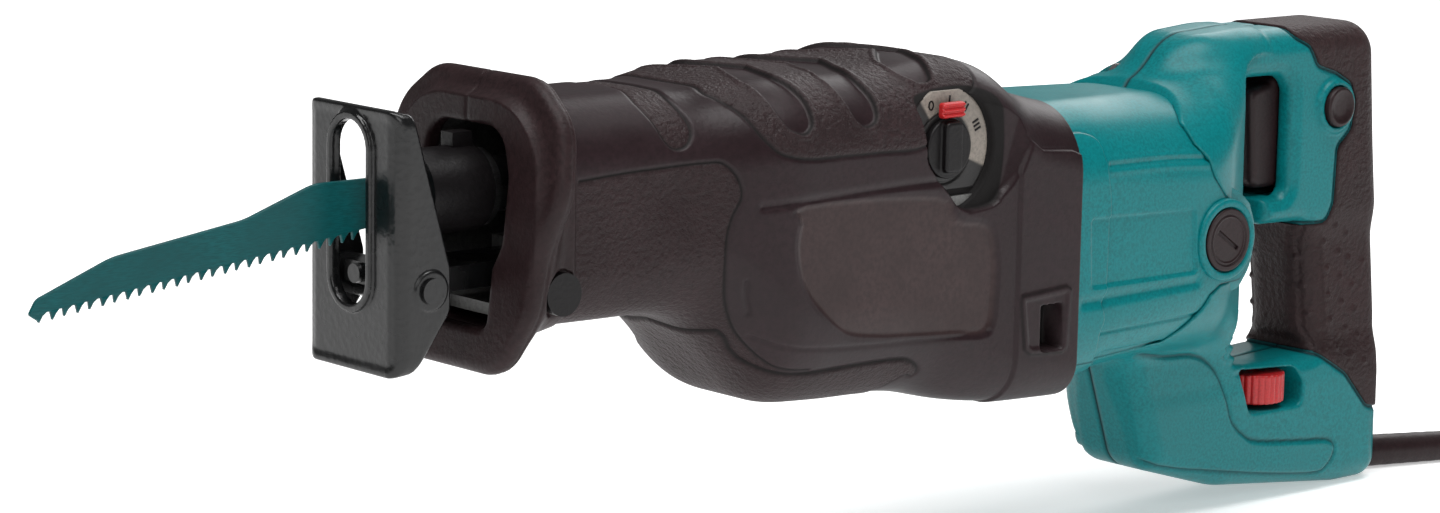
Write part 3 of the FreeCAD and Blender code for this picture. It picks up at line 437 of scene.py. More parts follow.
# --- hulls
def smooth_rows(rows, spread, step=0.5):
    """Rows led by X, made even in X and smoothed with a bell curve of the given spread."""
    rows = np.array(rows, float)
    xs = np.arange(rows[0, 0], rows[-1, 0] + step, step)
    span = int(3 * spread / step)
    bell = np.exp(-0.5 * (np.arange(-span, span + 1) * step / spread) ** 2)
    bell /= bell.sum()
    columns = []
    for column in rows[:, 1:].T:
        values = np.interp(xs, rows[:, 0], column)
        first = 2 * values[0] - values[1:span + 1][::-1]
        last = 2 * values[-1] - values[-span - 1:-1][::-1]
        columns.append(np.convolve(np.concatenate([first, values, last]), bell, "valid"))
    return xs, columns


def section_at(table, x):
    """Top, bottom, half width, upper and lower radius of a hull at X."""
    return [np.interp(x, table[0], column) for column in table[1]]


def hull_field(table, x, y, z):
    """Distance to a hull of rounded sections."""
    top, low, half, upper, lower = section_at(table, x)
    middle = (top + low) / 2
    r = np.where(z > middle, upper, lower)
    a = np.abs(y) - half + r
    b = np.where(z > middle, z - top + r, low + r - z)
    return np.minimum(np.maximum(a, b), 0) + np.hypot(np.maximum(a, 0), np.maximum(b, 0)) - r


def hull_grid(table, xs, count):
    """Points of a hull on rings, with X, the run s round the section, and the side of each point."""
    top, low, half, upper, lower = (c[:, None] for c in section_at(table, xs))
    high_z, low_z = top - upper, low + lower
    flat_u, flat_l = half - upper, half - lower
    s_high, s_low = high_z + upper * math.pi / 2 + flat_u, low_z - lower * math.pi / 2 - flat_l
    share = np.linspace(0, 1, count + 1)[None, :]
    s = s_low + (s_high - s_low) * share
    up = np.clip((s - high_z) / upper, 0, math.pi / 2)
    down = np.clip((low_z - s) / lower, 0, math.pi / 2)
    over = np.maximum(s - high_z - upper * math.pi / 2, 0)
    under = np.maximum(low_z - s - lower * math.pi / 2, 0)
    y = np.where(s > high_z, flat_u + upper * np.cos(up) - over, half)
    y = np.where(s < low_z, flat_l + lower * np.cos(down) - under, y)
    z = np.where(s > high_z, high_z + upper * np.sin(up), s)
    z = np.where(s < low_z, low_z - lower * np.sin(down), z)
    x = np.broadcast_to(xs[:, None], s.shape)
    near = np.stack([x, -y, z], 2)
    far = np.stack([x, y, z], 2)[:, -2:0:-1]
    points = np.concatenate([near, far], 1)
    run = np.concatenate([s, s[:, -2:0:-1]], 1)
    side = np.concatenate([np.full(s.shape, NEAR), np.full(far.shape[:2], FAR)], 1)
    return points, np.broadcast_to(xs[:, None], run.shape), run, side


def ring_faces(rows, columns):
    """Quads between closed rings of points."""
    i, j = np.meshgrid(np.arange(rows - 1), np.arange(columns), indexing="ij")
    k = (j + 1) % columns
    here, there = i * columns, (i + 1) * columns
    return np.stack([here + j, there + j, there + k, here + k], 2).reshape(-1, 4)


def grid_normals(points):
    """Unit normals of a grid of closed rings."""
    along = np.gradient(points, axis=0)
    around = (np.roll(points, -1, 1) - np.roll(points, 1, 1)) / 2
    normal = np.cross(along, around)
    return normal / np.linalg.norm(normal, axis=2, keepdims=True)


# --- cord
CORD_R = 4.0
HEADING, SIDE = np.array([0.95106, -0.30902, 0]), np.array([0.30902, 0.95106, 0])
ROUTE = [(543.161, -17.923, -148.9), (563.714, -25.863, -149.6), (590.127, -35.181, -150.3),
         (615.96, -43.049, -150.5), (638.267, -48.825, -150.5)]
COIL_AXIS = np.array([655.572, 4.434, 0])
TAIL = [
    (629.366, -45.933, -142.5), (647.168, -51.717, -141.3), (665.814, -50.085, -137.9),
    (682.341, -41.298, -135.1), (694.12, -26.752, -133.1), (699.279, -8.759, -130.1),
    (696.998, 9.819, -128.5)]
STEPS = 16  # points on each turn of the coil
LOW_LAYER, TOP_LAYER = -150.5, -142.5


def coil_points():
    """Turns of the put-away coil: in along the lower layer, out along the upper one."""
    lower = np.interp(np.arange(4 * STEPS + 1) / STEPS, [0, 0.8, 1.2, 1.8, 2.2, 2.8, 3.2, 4],
                      [56, 56, 48, 48, 40, 40, 32, 32])
    turns = np.concatenate([lower, lower[-2::-1]])
    heights = np.concatenate([np.full(len(lower) - 4, LOW_LAYER),
                              np.linspace(LOW_LAYER, TOP_LAYER, 8),
                              np.full(len(turns) - len(lower) - 4, TOP_LAYER)])
    made = []
    for index in range(1, len(turns) - 1):
        angle = 2 * math.pi * index / STEPS
        spoke = -SIDE * math.cos(angle) + HEADING * math.sin(angle)
        spot = COIL_AXIS + spoke * turns[index]
        made.append((spot[0], spot[1], heights[index]))
    return made


cord_route = [*ROUTE, *coil_points(), *TAIL]
cord_curve = bpy.data.curves.new("mains_cord", "CURVE")
cord_curve.dimensions = "3D"
spline = cord_curve.splines.new("NURBS")
spline.points.add(len(cord_route) - 1)
for point, spot in zip(spline.points, place(cord_route)):
    point.co = (*spot, 1)
spline.order_u = 3
spline.use_endpoint_u = True
spline.resolution_u = 6
cord_curve.bevel_depth = CORD_R / 1000
cord_curve.bevel_resolution = 6
cord_curve.use_fill_caps = True
cord_curve.materials.append(CORD)
mains_cord = linked("mains_cord", cord_curve)
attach(mains_cord, "housing")
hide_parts("power_cord", "cord_tail", "cord_coil")


def spun(name, profile, start, heading, body, finish, replaced=(), count=72):
    """A turned piece: (distance along, radius) rows about a line."""
    heading = np.array(heading, float) / np.linalg.norm(heading)
    side = np.cross(heading, (0, 0, 1))
    side /= np.linalg.norm(side)
    up = np.cross(side, heading)
    profile = np.array(profile, float)
    angle = np.arange(count) * 2 * math.pi / count
    spoke = np.cos(angle)[:, None] * side + np.sin(angle)[:, None] * up
    points = np.array(start) + profile[:, :1, None] * heading + profile[:, 1:, None] * spoke
    faces = ring_faces(len(profile), count)[:, ::-1]
    return mesh_piece(name, points.reshape(-1, 3), faces, body, finish, replaced)


# --- cord guard and plug
GUARD_FOOT = np.array([488, 0, -147.9])
guard_run = np.array(ROUTE[0]) - GUARD_FOOT
length = np.linalg.norm(guard_run)
sleeve = [(-1, 0.05), (-1, 6.4), (8, 6.45)]
for u in np.arange(9, length - 2.5, 1.5):
    sleeve.append((u, 6.4 - 0.012 * (u - 8) + 0.05 * math.sin(u * 0.9)))
sleeve += [(length - 2, 5.7), (length - 0.8, 5.5), (length, 4.9), (length, 4.0),
           (length - 0.5, 0.05)]
strain_relief = spun("strain_relief", sleeve[::-1], GUARD_FOOT, guard_run, "housing", BROWN,
                     ["cord_guard"])

plug_way = np.array(TAIL[-1]) - np.array(TAIL[-2])
plug_way[2] = 0
plug_way /= np.linalg.norm(plug_way)
plug_side = np.array([-plug_way[1], plug_way[0], 0])
PLUG_ORIGIN = np.array(TAIL[-1]) + plug_way * 8


def plug_field(x, y, z):
    """A moulded plug in its own frame: X towards the pins."""
    waist = 17 - 3.2 * eased(np.cos((x - 16) / 9), -1, 1) * (x < 34)
    width = np.abs(y) - waist
    height = np.abs(z) - 9.8 + 0.5 * eased(-x, -14, 0)
    body = edged(edged(width, height, 5.5), np.abs(x - 21) - 20.8, 4)
    ribs = 0.45 * np.maximum(np.cos(x * 1.9), 0) * (np.abs(x - 16) < 11.5) * (np.abs(y) > 9)
    neck = edged(np.hypot(y, z) - np.interp(x, [-8, 4], [5.4, 8.2]), np.abs(x + 1) - 7, 1.5)
    return soft_min(body - ribs, neck, 3)


points, faces = surface_net(plug_field, (-9, -19, -11), (43, 19, 11), 0.6)
plug_points = PLUG_ORIGIN + points @ np.array([plug_way, plug_side, (0, 0, 1)])
plug = mesh_piece("mains_plug", plug_points, faces, "housing", BROWN,
                  ["power_plug"])

# --- rubber boot
BOOT = smooth_rows([
    (50, 29, -44.5, 34, 24, 20), (61, 29, -45, 34, 24, 20), (90, 28.8, -45.5, 35, 24.5, 21),
    (108, 28.8, -46, 36, 25, 24), (120, 27.8, -49.2, 39, 26, 28), (130, 28.8, -56.5, 42, 27, 33),
    (140, 29.9, -66.6, 44.5, 27, 34), (150, 30.8, -79, 46, 27, 35), (162, 30.4, -83, 46, 26, 36),
    (185, 30, -84.7, 46, 25, 37), (205, 30.2, -85, 46, 25, 36), (220, 31.8, -86, 46, 25, 32),
    (236, 31.8, -90, 46, 24, 26), (250, 28, -91.8, 46.2, 24, 20), (262, 18.2, -91.5, 46.3, 24, 16),
    (286, 12, -92, 46.4, 24, 14), (300, 12, -91, 46.4, 24, 14)], 4)
NOSE_SEAM = [
    (65.1, 4.3), (83.8, 5.4), (101.5, 5.9), (115.2, 6.3), (121, 6), (125.2, 2.5), (127.6, -2.1),
    (127.7, -6.5), (124.9, -11.8), (123, -18.4), (122.8, -27.2), (124.9, -37.6), (128.6, -46.5),
    (134.2, -56), (140.8, -63.3), (147.4, -67.9), (153.8, -69.2), (161.6, -69.5)]
NOSE_STRIPE = [
    (107, 60), (98.3, 35.6), (97.7, 28), (99.1, 22.2), (100.6, 16.1), (102.9, 12.5), (106, 11.5),
    (109.4, 12.6), (111.9, 15.8), (112.7, 19.9), (112, 25.1), (111.4, 32.4), (112.7, 41.5),
    (115, 60)]
UPPER_ZONE = [
    (140, 75), (127, 39.7), (127.5, 31.2), (131.1, 25), (133.7, 19.8), (135.9, 14.6), (140.1, 9.4),
    (145.1, 6.8), (155.1, 5.2), (170.2, 5), (185.6, 4.8), (207.5, 5.3), (216, 16), (234, 23.9),
    (238.4, 31.7), (238.8, 38.4), (238, 48), (244, 75)]
TONGUES = [
    [(157.2, 70), (143.5, 43.9), (143.2, 34.4), (143.8, 26.7), (144.8, 20.3), (147.4, 15.5),
     (152.6, 13.5),
     (156.8, 15.9), (158.2, 20.4), (158.3, 26.7), (156.9, 34.5), (156.3, 44.5), (167.8, 72)],
    [(189.4, 72), (174.8, 41.3), (174.1, 31), (175.1, 22.6), (176.6, 16.6), (180.5, 13.7),
     (185.5, 15.3),
     (187.5, 19.8), (187.6, 25.5), (186.7, 33.2), (189.1, 44.8), (202, 72)],
    [(231.5, 72), (211.2, 49.1), (206.8, 36.2), (210, 30.2), (212.5, 28.1), (217.3, 28.9),
     (220.1, 34.2),
     (227.4, 49.8), (240, 72)]]
CREASE = [(136, -9.5), (152.6, -8.8), (170.7, -8.2), (186, -7.9), (201.6, -7.6), (214.3, -7.6)]
PANEL = [
    (153.3, -9.4), (150.2, -16.9), (149, -24.6), (150.6, -33.8), (154.2, -40.9), (159.7, -47.1),
    (167.5, -53.7), (175.4, -58), (187.9, -60.4), (203.6, -61.9), (222.9, -63), (240.5, -63),
    (244, -48), (243, -31.7), (238, -24), (224, -21), (214, -12)]
LOW_LIP = [
    (138.4, -56.6), (149.7, -58.9), (163.9, -60.5), (182, -61.8), (200.5, -62.7), (219.6, -63.2),
    (240.5, -62.7)]
LOW_BAND = [(120, -140), (128, -62), (140, -69.5), (153.8, -71.2), (181.7, -70.1), (202.2, -70.1),
            (208.8, -71.8), (213.5, -75.8), (213.5, -80), (207, -84), (196, -140)]
DIAL_RECESS = [
    (205.4, 22), (212.7, 24.5), (224.9, 25.5), (236.1, 24), (245, 19.5), (247.5, 8), (247, -6),
    (243.4, -17), (230.8, -19), (224.3, -17.2), (219.3, -12.1), (214.3, -7), (209.3, -0.9),
    (208.3, 4.9), (206.5, 14.2)]
DIAL_RAMP = [
    (245, 20), (257.2, 14.9), (262.4, 7.4), (258, -0.2), (253, -8.6), (245, -15), (236, -18.5),
    (228, -18.5), (232, -8), (240, 6)]
REAR_BAND = [
    (253.3, 12), (258, 4), (264.6, -0.8), (279.9, -2.1), (290, -6), (290, -110), (253, -110),
    (253, -60)]
PORT_FRAME = [
    (255.1, -51.6), (277.5, -50.3), (280, -52), (278.5, -72.7), (276, -74), (259.8, -73.1),
    (256.8, -71), (254.6, -54)]
PORT = [(264.8, -56.3), (276, -56.3), (275.8, -72.5), (265, -72.5)]

column_x = np.concatenate([np.arange(55, 284.2, 0.5), [284.5, 284.6]])
points, gx, gs, gside = hull_grid(BOOT, column_x, 360)
normal = grid_normals(points)
seam = near_line(curved(NOSE_SEAM, False), gx, gs)
upper_zone = near_area(curved(UPPER_ZONE), gx, gs)
tongues = np.minimum.reduce([near_area(curved(t), gx, gs) for t in TONGUES])
stripe = near_area(curved(NOSE_STRIPE), gx, gs)
panel = near_area(curved(PANEL), gx, gs)
low_band = near_area(curved(LOW_BAND), gx, gs)
rear_band = near_area(arcs([(*p, 3) for p in REAR_BAND]), gx, gs)
raised = groove(seam, 0.7, 0.55)
raised += groove(np.abs(stripe), 0.7, 0.5) - 0.5 * eased(-stripe, -0.6, 0.6)
raised += groove(np.abs(upper_zone), 0.8, 0.5) + 0.35 * eased(-upper_zone, -0.8, 0.8)
raised += -1.3 * eased(-tongues, -0.5, 1.0) + 0.5 * np.exp(-((tongues - 1.2) / 0.9) ** 2)
raised += groove(near_line(curved(CREASE, False), gx, gs), 1.3, 0.9)
raised += -1.3 * eased(-panel, -0.2, 2.6) + groove(np.abs(panel), 0.6, 0.25)
raised += groove(near_line(curved(LOW_LIP, False), gx, gs), 1.0, 0.5)
raised += groove(np.abs(low_band), 0.9, 0.7) + 0.7 * eased(-low_band, -0.8, 0.8)
raised += 0.8 * eased(-rear_band, -0.6, 0.9) + groove(np.abs(rear_band), 0.6, 0.3)
nose_dent = ((gx - 101.6) / 6) ** 2 + ((gs + 3.7) / 7) ** 2
raised -= 1.0 * np.exp(-nose_dent)
bulge = ((gx - 111) / 9) ** 2 + ((gs + 22) / 11) ** 2
raised += 1.1 * np.exp(-bulge)
nose_crease = curved([(131.2, -34.4), (132.1, -40.1), (134.8, -46.7)], False)
raised += groove(line_distance(nose_crease, gx, gs), 0.9, 0.9)


def near_side(outline):
    """Distance to an outline drawn on the near side only."""
    return np.where(gside == NEAR, near_area(outline, gx, gs), REACH)


frame_d = near_side(arcs([(*p, 1) for p in PORT_FRAME]))
hole_d = near_side(arcs([(*p, 1) for p in PORT]))
raised += 0.7 * eased(-frame_d, -0.7, 0.7) - 0.6 * eased(-frame_d, 1.6, 3.0)
raised -= 9 * eased(-hole_d, -0.2, 0.5)
raised[-2, :] -= 0.5
raised[-1, :] -= 5
shaped = points + normal * raised[..., None]
recess = near_side(curved(DIAL_RECESS))
ramp = near_side(curved(DIAL_RAMP))
floor_y = -41 - 2.6 * eased(np.hypot(gx - DIAL_X, gs - DIAL_Z), 20.8, 22.4)
slope_y = np.minimum(floor_y, -41 - 5.5 * eased(gx - 0.35 * gs, 240, 262))
depth_y = np.maximum(shaped[..., 1], slope_y)
mix = eased(-ramp, -0.8, 1.6)
shaped[..., 1] = np.where(ramp < 2, shaped[..., 1] * (1 - mix) + depth_y * mix, shaped[..., 1])
mix = eased(-recess, -0.5, 0.7)
shaped[..., 1] = shaped[..., 1] * (1 - mix) + np.maximum(shaped[..., 1], floor_y) * mix
nose_side = area(np.array([(40, 5.5), *NOSE_SEAM, (175, -70), (175, -150), (40, -150)]), gx, gs)
grainy = np.maximum.reduce([
    eased(-upper_zone, -0.4, 0.4) * (1 - eased(-tongues, -0.4, 0.4)),
    eased(-stripe, -0.4, 0.4),
    eased(-nose_side, -0.4, 0.4) * (gx < 150),
    eased(-low_band, -0.4, 0.4)])
# Painted shade: the seams, the edges of the stripe, zones, tongues and band, and the port frame are
# darkened like shaded grooves; the port's floor and the dial recess are darkened like deep shade.
painted_shade = np.maximum.reduce([
    np.exp(-(seam / 0.5) ** 2), np.exp(-(stripe / 0.45) ** 2), np.exp(-(upper_zone / 0.5) ** 2),
    np.exp(-((tongues + 0.2) / 0.45) ** 2), np.exp(-(low_band / 0.6) ** 2),
                           eased(-hole_d, -0.2, 0.8),
    0.8 * np.exp(-(frame_d / 0.5) ** 2), eased(-recess, -0.3, 0.5)])
mesh_piece("rubber_boot", shaped.reshape(-1, 3), ring_faces(len(column_x), points.shape[1]),
           "housing", RUBBER, ["housing_boot"],
           {"grain": grainy, "panel": eased(-panel, 0, 2), "line": painted_shade})

# --- motor housing
MOTOR = smooth_rows([
    (270, 11, -89, 45.1, 28, 26), (300, 11, -89, 45.1, 28, 26), (350, 10, -87, 44, 32, 30),
    (380, 6, -84, 42, 30, 30), (394, -4, -76, 37, 26, 28), (400, -9, -70, 33, 24, 26)], 3)
SEAM = [
    (351.5, 10.3), (347.5, 2.9), (349.6, -5.8), (355.7, -12.7), (358.5, -19.1), (365.7, -27.2),
    (374, -31.2), (380.5, -35.5), (384, -41), (384.4, -47), (382, -54), (376.5, -59.7),
    (364.3, -60.1), (359.2, -63.4), (356.4, -68.4), (348, -77), (342, -83), (323, -83.4)]
FLANGE = [
    (270, 4), (286, 3.9), (292.1, 3.4), (297.5, 0.4), (298.8, -5.5), (299.6, -14.6), (301, -24),
    (301, -50), (299, -58.5), (298, -59.5), (299.5, -65.2), (298.1, -70.7), (300.9, -80.2),
    (304.5, -89), (305, -130), (270, -130)]
LABEL_PANEL = [(290, -27.5, 2), (347.9, -29.9, 2), (350.1, -54.2, 2), (291.4, -53.3, 2)]
TOP_CREASE = [(301.6, -9.9), (333.4, -10.6), (354.6, -12.1), (365, -13.1), (371, -16.5),
              (376.5, -22.1)]
LOW_GROOVE = [(298.8, -70.6), (329.1, -70.9), (357, -71)]
column_x = np.arange(281, 392, 0.5)
points, gx, gs, gside = hull_grid(MOTOR, column_x, 340)
normal = grid_normals(points)
flange = near_area(curved(FLANGE, steps=3), gx, gs)
label = near_area(arcs(LABEL_PANEL), gx, gs)
crease = near_line(curved(TOP_CREASE, False), gx, gs)
raised = 1.3 * eased(-flange, -0.6, 0.8) + groove(np.abs(flange), 0.5, 0.25)
raised += -1.0 * eased(-label, -0.4, 1.0)
raised += groove(crease, 1.0, 0.55) + 0.35 * np.exp(-((crease - 2.2) / 1.4) ** 2)
raised += groove(near_line(np.array(LOW_GROOVE, float), gx, gs), 0.7, 0.7)
raised += groove(near_line(np.array([(288, -58), (350.3, -57.5)], float), gx, gs), 2.0, 1.2)
raised += groove(near_line(np.array([(306, -80.8), (341.2, -82.5)], float), gx, gs), 0.7, 0.6)
beyond = -area(np.array([(200, 70), (362, 70), (361.6, 23), *SEAM, (200, -84)], float), gx, gs)
beyond = np.where(gs < -84, 0, beyond)
raised -= 1.6 * eased(-beyond, -0.4, 0.8) * (gs > -84)
motor_faces = ring_faces(len(column_x), points.shape[1])
kept = beyond.reshape(-1)[motor_faces].min(1) > -5
# Painted shade along the seam line and the flange's edge, darkened like shaded grooves.
painted_shade = np.maximum(np.exp(-(beyond / 0.7) ** 2) * (gs > -84), 0.7 * np.exp(-(flange / 0.4) ** 2))
mesh_piece("motor_shell", (points + normal * raised[..., None]).reshape(-1, 3), motor_faces[kept],
           "housing", TEAL, ["motor_housing"], {"line": painted_shade})

CAP_X, CAP_Z = 365.0, -43.0
boss_profile = [
    (20, 0.05), (20, 14.8), (4, 15.3), (0.9, 15.2), (0.25, 14.8), (0, 14.2), (0, 12.7), (0.3, 12.2),
    (3, 12.05), (3, 0.05)]
for side, word in ((NEAR, "near"), (FAR, "far")):
    spun("brush_boss_" + word, boss_profile, (CAP_X, side * 45.3, CAP_Z), (0, -side, 0), "housing",
         TEAL, count=96)


def cap_field(x, y, z):
    """A slotted brush cap seen along its axis, its outer face at y = 0 and its body above."""
    r = np.hypot(x, z)
    disc = edged(r - 11.65, np.abs(y - 2.25) - 2.25, 0.45)
    ring = np.hypot(r - 9.3, y) - 0.42
    across = np.abs(0.56 * x + 0.83 * z) - 0.75
    slot_cut = np.maximum(np.maximum(across, r - 6.4), np.abs(y) - 1.3)
    dish = np.maximum(r - 8.3, np.abs(y) - 0.3)
    return soft_max(soft_max(soft_max(disc, -ring, 0.2), -slot_cut, 0.25), -dish, 0.3)


points, faces = surface_net(cap_field, (-12.4, -0.8, -12.4), (12.4, 5.2, 12.4), 0.28)
both = [np.array([CAP_X, side * 45.55, CAP_Z]) + points * (1, -side, 1) for side in (NEAR, FAR)]
mesh_piece("brush_cap_pair", np.concatenate(both),
           np.concatenate([faces, faces[:, ::-1] + len(points)]),
           "housing", BROWN, ["brush_caps"])

# --- D-handle
OUTLINE = arcs([
    (356, 5, 6), (375, 28.5, 24), (478, 28, 13), (482.5, -20, 60), (490.6, -90, 90),
    (491.5, -154.5, 9), (469, -154.5, 30), (398, -146.5, 50), (354, -133.5, 14), (337, -84, 8)], 12)
LOOP = arcs([
    (398, 11, 9), (428.5, 10.5, 8), (428.5, -36, 5), (415.5, -36.5, 1.5), (415, -46.5, 3),
    (440, -47.5, 4), (443.5, -66, 40), (447, -93, 6), (452, -99.5, 3), (422, -100.8, 6),
    (403, -100, 8), (401, -70, 20), (400, -36, 8)], 8)
FLARE = smooth_rows([
    (320, 10.6, -87.6, 45.6, 32, 30), (340, 10.8, -87.8, 45, 32, 30),
    (350, 10.9, -87.9, 44.5, 32, 30), (362, 12.6, -88.2, 43.4, 31, 30),
    (372, 16, -89, 40.8, 28, 28), (380, 19, -90, 36, 26, 26), (390, 23.5, -93, 29.5, 20, 20),
    (397, 25.5, -96, 25, 15, 15), (404, 27, -99, 20, 9, 9), (412, 27, -100, 16, 8, 8)], 2.5)
GRIP_AREA = arcs([
    (428, 45, 2), (430, 25.5, 4), (437.5, 21.5, 5), (442.5, 13.5, 5), (453.6, 10.1, 6),
    (462, 5.6, 4), (465.6, -2.5, 8), (463.4, -13, 5), (456, -19, 4), (455, -40.7, 4),
    (451.6, -48.2, 4), (434, -48.6), (400, -48.2), (405, -93), (438, -95.6, 6), (451.1, -100.2, 12),
    (466, -109, 14), (480, -124, 6), (500, -128), (515, 0), (500, 45)], 6)
LOW_PANEL = curved([
    (334, -85.6), (341, -86.6), (359.5, -90.1), (372.9, -91), (383, -94.2), (391, -101.5),
    (396.4, -112), (399.7, -120.2), (406.7, -126.3), (414.7, -129.7), (438.4, -132.7),
    (456, -134.6), (461.2, -138.5), (457.2, -145.1), (447.2, -147.4), (400, -140), (352, -129),
    (340, -104)])
SCREWS, SCREW_R = [(368, 12), (474, 14), (476, -112), (356, -122), (404, -138)], 4.0
WHEEL_BAY = arcs([
    (404, -101.5, 2), (417.5, -102.5, 3), (437, -103.5, 3), (441.4, -110, 4), (440, -118.8, 3),
    (410, -118.6, 4)], 5)
BUTTON_X, BUTTON_Z = 453, -3


def half_width(x, z):
    """Half thickness of the handle: slim at the grip, full at its top and base."""
    grip = eased(-z, 42, 58) * eased(z, -106, -92) * eased(x, 405, 430)
    front = eased(-x, -396, -356) * eased(z, 2, 14) + 0.9 * eased(-x, -351, -338) * eased(-z, 88,
                                                                                          100)
    return 20 + 0.5 * eased(-z, 104, 112) - 2.6 * grip - 6 * front


def handle_core(x, y, z):
    outside = area(OUTLINE, x, z)
    ridges = 0.9 * np.cos(z * 1.5) * eased(-z, 84, 88) * (x < 410)
    loop = area(LOOP, x, z) + ridges
    thick = np.abs(y) - half_width(x, z)
    core = edged(outside, thick, 10)
    flare = np.maximum(hull_field(FLARE, x, y, z), x - 410)
    body = soft_min(core, flare, 7)
    soft_edge = 6.5 + 6 * eased(-z, 44, 58) * eased(z, -100, -88) * eased(x, 405, 425)
    hole = edged(-loop, np.abs(y) - np.maximum(half_width(x, z), 12), soft_edge)
    hole = np.where(loop < 9, hole, -9)
    return np.maximum(body, np.where(np.abs(y) < 30, hole, -9))


SEAM_FLAT = []
for sx, ss in SEAM:
    s_top, s_low, _, s_up, s_down = section_at(MOTOR, sx)
    zu, zl = s_top - s_up, s_low + s_down
    if ss > zu:
        height = zu + s_up * math.sin(min((ss - zu) / s_up, math.pi / 2))
    elif ss < zl:
        height = zl - s_down * math.sin(min((zl - ss) / s_down, math.pi / 2))
    else:
        height = ss
    SEAM_FLAT.append((sx, height))
MOTOR_FLAT = np.array([(250, 60), (357, 40), (358, 13), *SEAM_FLAT, (318, -84), (250, -84)], float)


def trigger_bay(x, y, z):
    return np.maximum(np.maximum(np.abs(x - 435.5) - 11.6, np.abs(z + 10.2) - 27.3),
                      np.abs(y) - 12.4)


def drilled(body, screws, x, y, z):
    """A body with screw holes from the far side."""
    for sx, sz in screws:
        body = np.maximum(body, SCREW_R - np.hypot(x - sx, z - sz) - 50 * (y < 14))
    return body


def handle_field(x, y, z):
    body = handle_core(x, y, z)
    body = soft_max(body, -area(MOTOR_FLAT, x, z), 0.5)
    button_r = np.hypot(x - BUTTON_X, z - BUTTON_Z)
    rim = edged(button_r - 10.6, np.abs(y + 17) - 4.9, 1.4)
    body = soft_min(body, rim, 1.5)
    body = soft_max(body, -np.maximum(button_r - 8.15, y + 16), 0.4)
    body = np.maximum(body, -trigger_bay(x, y, z))
    wheel = np.maximum(area(WHEEL_BAY, x, z), y + 5)
    return drilled(soft_max(body, -wheel, 1.2), SCREWS, x, y, z)


def handle_detail(points, normal):
    """Grooves and raised zones of the handle's shells, with painted shade along the lower panel's
    groove, the parting line and the grip's border.
    """
    x, y, z = points.T
    flat = eased(np.abs(normal[:, 1]), 0.25, 0.6)
    low = np.full(len(x), 8.0)
    lower = z < -80
    low[lower] = area(LOW_PANEL, x[lower], z[lower])
    raised = (groove(np.abs(low), 0.75, 0.75) + 0.7 * eased(-low, -0.6, 1.6)) * flat
    parting = np.exp(-(y / 0.8) ** 2) * (1 - flat)
    raised -= 0.5 * parting
    border = np.full(len(x), 8.0)
    close = x > 400
    border[close] = area(GRIP_AREA, x[close], z[close])
    edge_line = np.exp(-((border - 0.4) / 0.8) ** 2)
    raised -= 0.8 * edge_line
    frame_line = np.abs(area(LOOP, x, z) - 3.2)
    raised += groove(frame_line, 0.8, 0.28) * flat * (z > -40) * (x > 402)
    # drawn: painted shade along the lower panel's groove, the parting line and the grip's border.
    drawn = np.maximum.reduce([0.7 * np.exp(-(low / 0.6) ** 2) * flat, parting, edge_line])
    return points + normal * raised[:, None], drawn


points, faces = surface_net(handle_field, (316, -48, -156), (494, 48, 30), 0.85, settle=2)
points, drawn = handle_detail(points, normals_of(points, faces))
middle = points[faces][:, :, 1].mean(1)
for name, chosen, node in (("handle_shell_near", middle < 0, "handle_left"),
                           ("handle_shell_far", middle >= 0, "handle_right")):
    used, renumbered = np.unique(faces[chosen], return_inverse=True)
    mesh_piece(name, points[used], renumbered.reshape(-1, 4), "housing", TEAL,
               [node],
               {"line": drawn[used]})

DOTS = [
    (440.2, -53.2), (452.4, -56.2), (457.9, -50.2), (465.2, -54.2), (443.9, -62.5), (455.1, -67),
    (461.7, -61.1), (467.9, -64.4), (440.4, -71), (446.6, -73.3), (456.8, -77.7), (463.4, -71.2),
    (470.7, -75.3), (449.3, -84.1), (458.5, -87.8), (465.1, -81.3), (472.5, -85.4), (443, -88),
    (461.3, -98.8), (467.9, -92.2), (474.8, -95.7), (469.6, -102.4), (477, -106), (476.5, -66.5)]


def grip_field(x, y, z):
    shell = handle_core(x, y, z) - 0.55
    zone = edged(area(GRIP_AREA, x, z) + 0.2, shell, 0.7)
    zone = np.maximum(zone, -handle_core(x, y, z) - 3)
    button_r = np.hypot(x - BUTTON_X, z - BUTTON_Z)
    zone = drilled(np.maximum(zone, -trigger_bay(x, y, z)), SCREWS[1:3], x, y, z)
    return np.maximum(zone, np.where(y < 0, 11.2 - button_r, -9))


points, faces = surface_net(grip_field, (408, -22, -130), (494, 22, 30), 0.75, settle=2)
normal = normals_of(points, faces)
x, y, z = points.T
bumps = np.zeros(len(x))
for dx, dz in DOTS:
    bumps += 0.95 * eased(-np.hypot(x - dx, z - dz), -1.7, -0.3)
for dz in (-54, -63, -72, -81, -90):
    bumps += 0.8 * eased(-np.hypot(y + 5, z - dz), -1.6, -0.3) * (normal[:, 0] < -0.4)
bumps *= np.abs(normal[:, 1]) > 0.4
strip = np.abs(area(LOOP, x, z) - 1.6)
bumps += groove(strip, 0.6, 0.45) * (z < -48) * (np.abs(y) > 9)
points = points + normal * bumps[:, None]
mesh_piece("grip_rubber", points, faces, "housing", GRIP, ["grip_cover"])


# --- trigger, buttons and speed wheel
TRIGGER = arcs([
    (413.2, 5, 4), (425, 7, 2), (432, 16.4, 1), (440, 16.4, 3), (440, -10, 3), (434, -33.4, 3),
    (416, -33.4, 5), (414.6, -14, 30)], 7)


def trigger_field(x, y, z):
    side = area(TRIGGER, x, z)
    hollow = 0.9 * np.exp(-(y / 6) ** 2) * eased(-x, -420, -413)
    return edged(side + hollow, np.abs(y) - 11.7, 2.6)


points, faces = surface_net(trigger_field, (411, -13, -35), (442, 13, 18), 0.5)
mesh_piece("trigger_paddle", points, faces, "trigger_body", BROWN, ["trigger"])

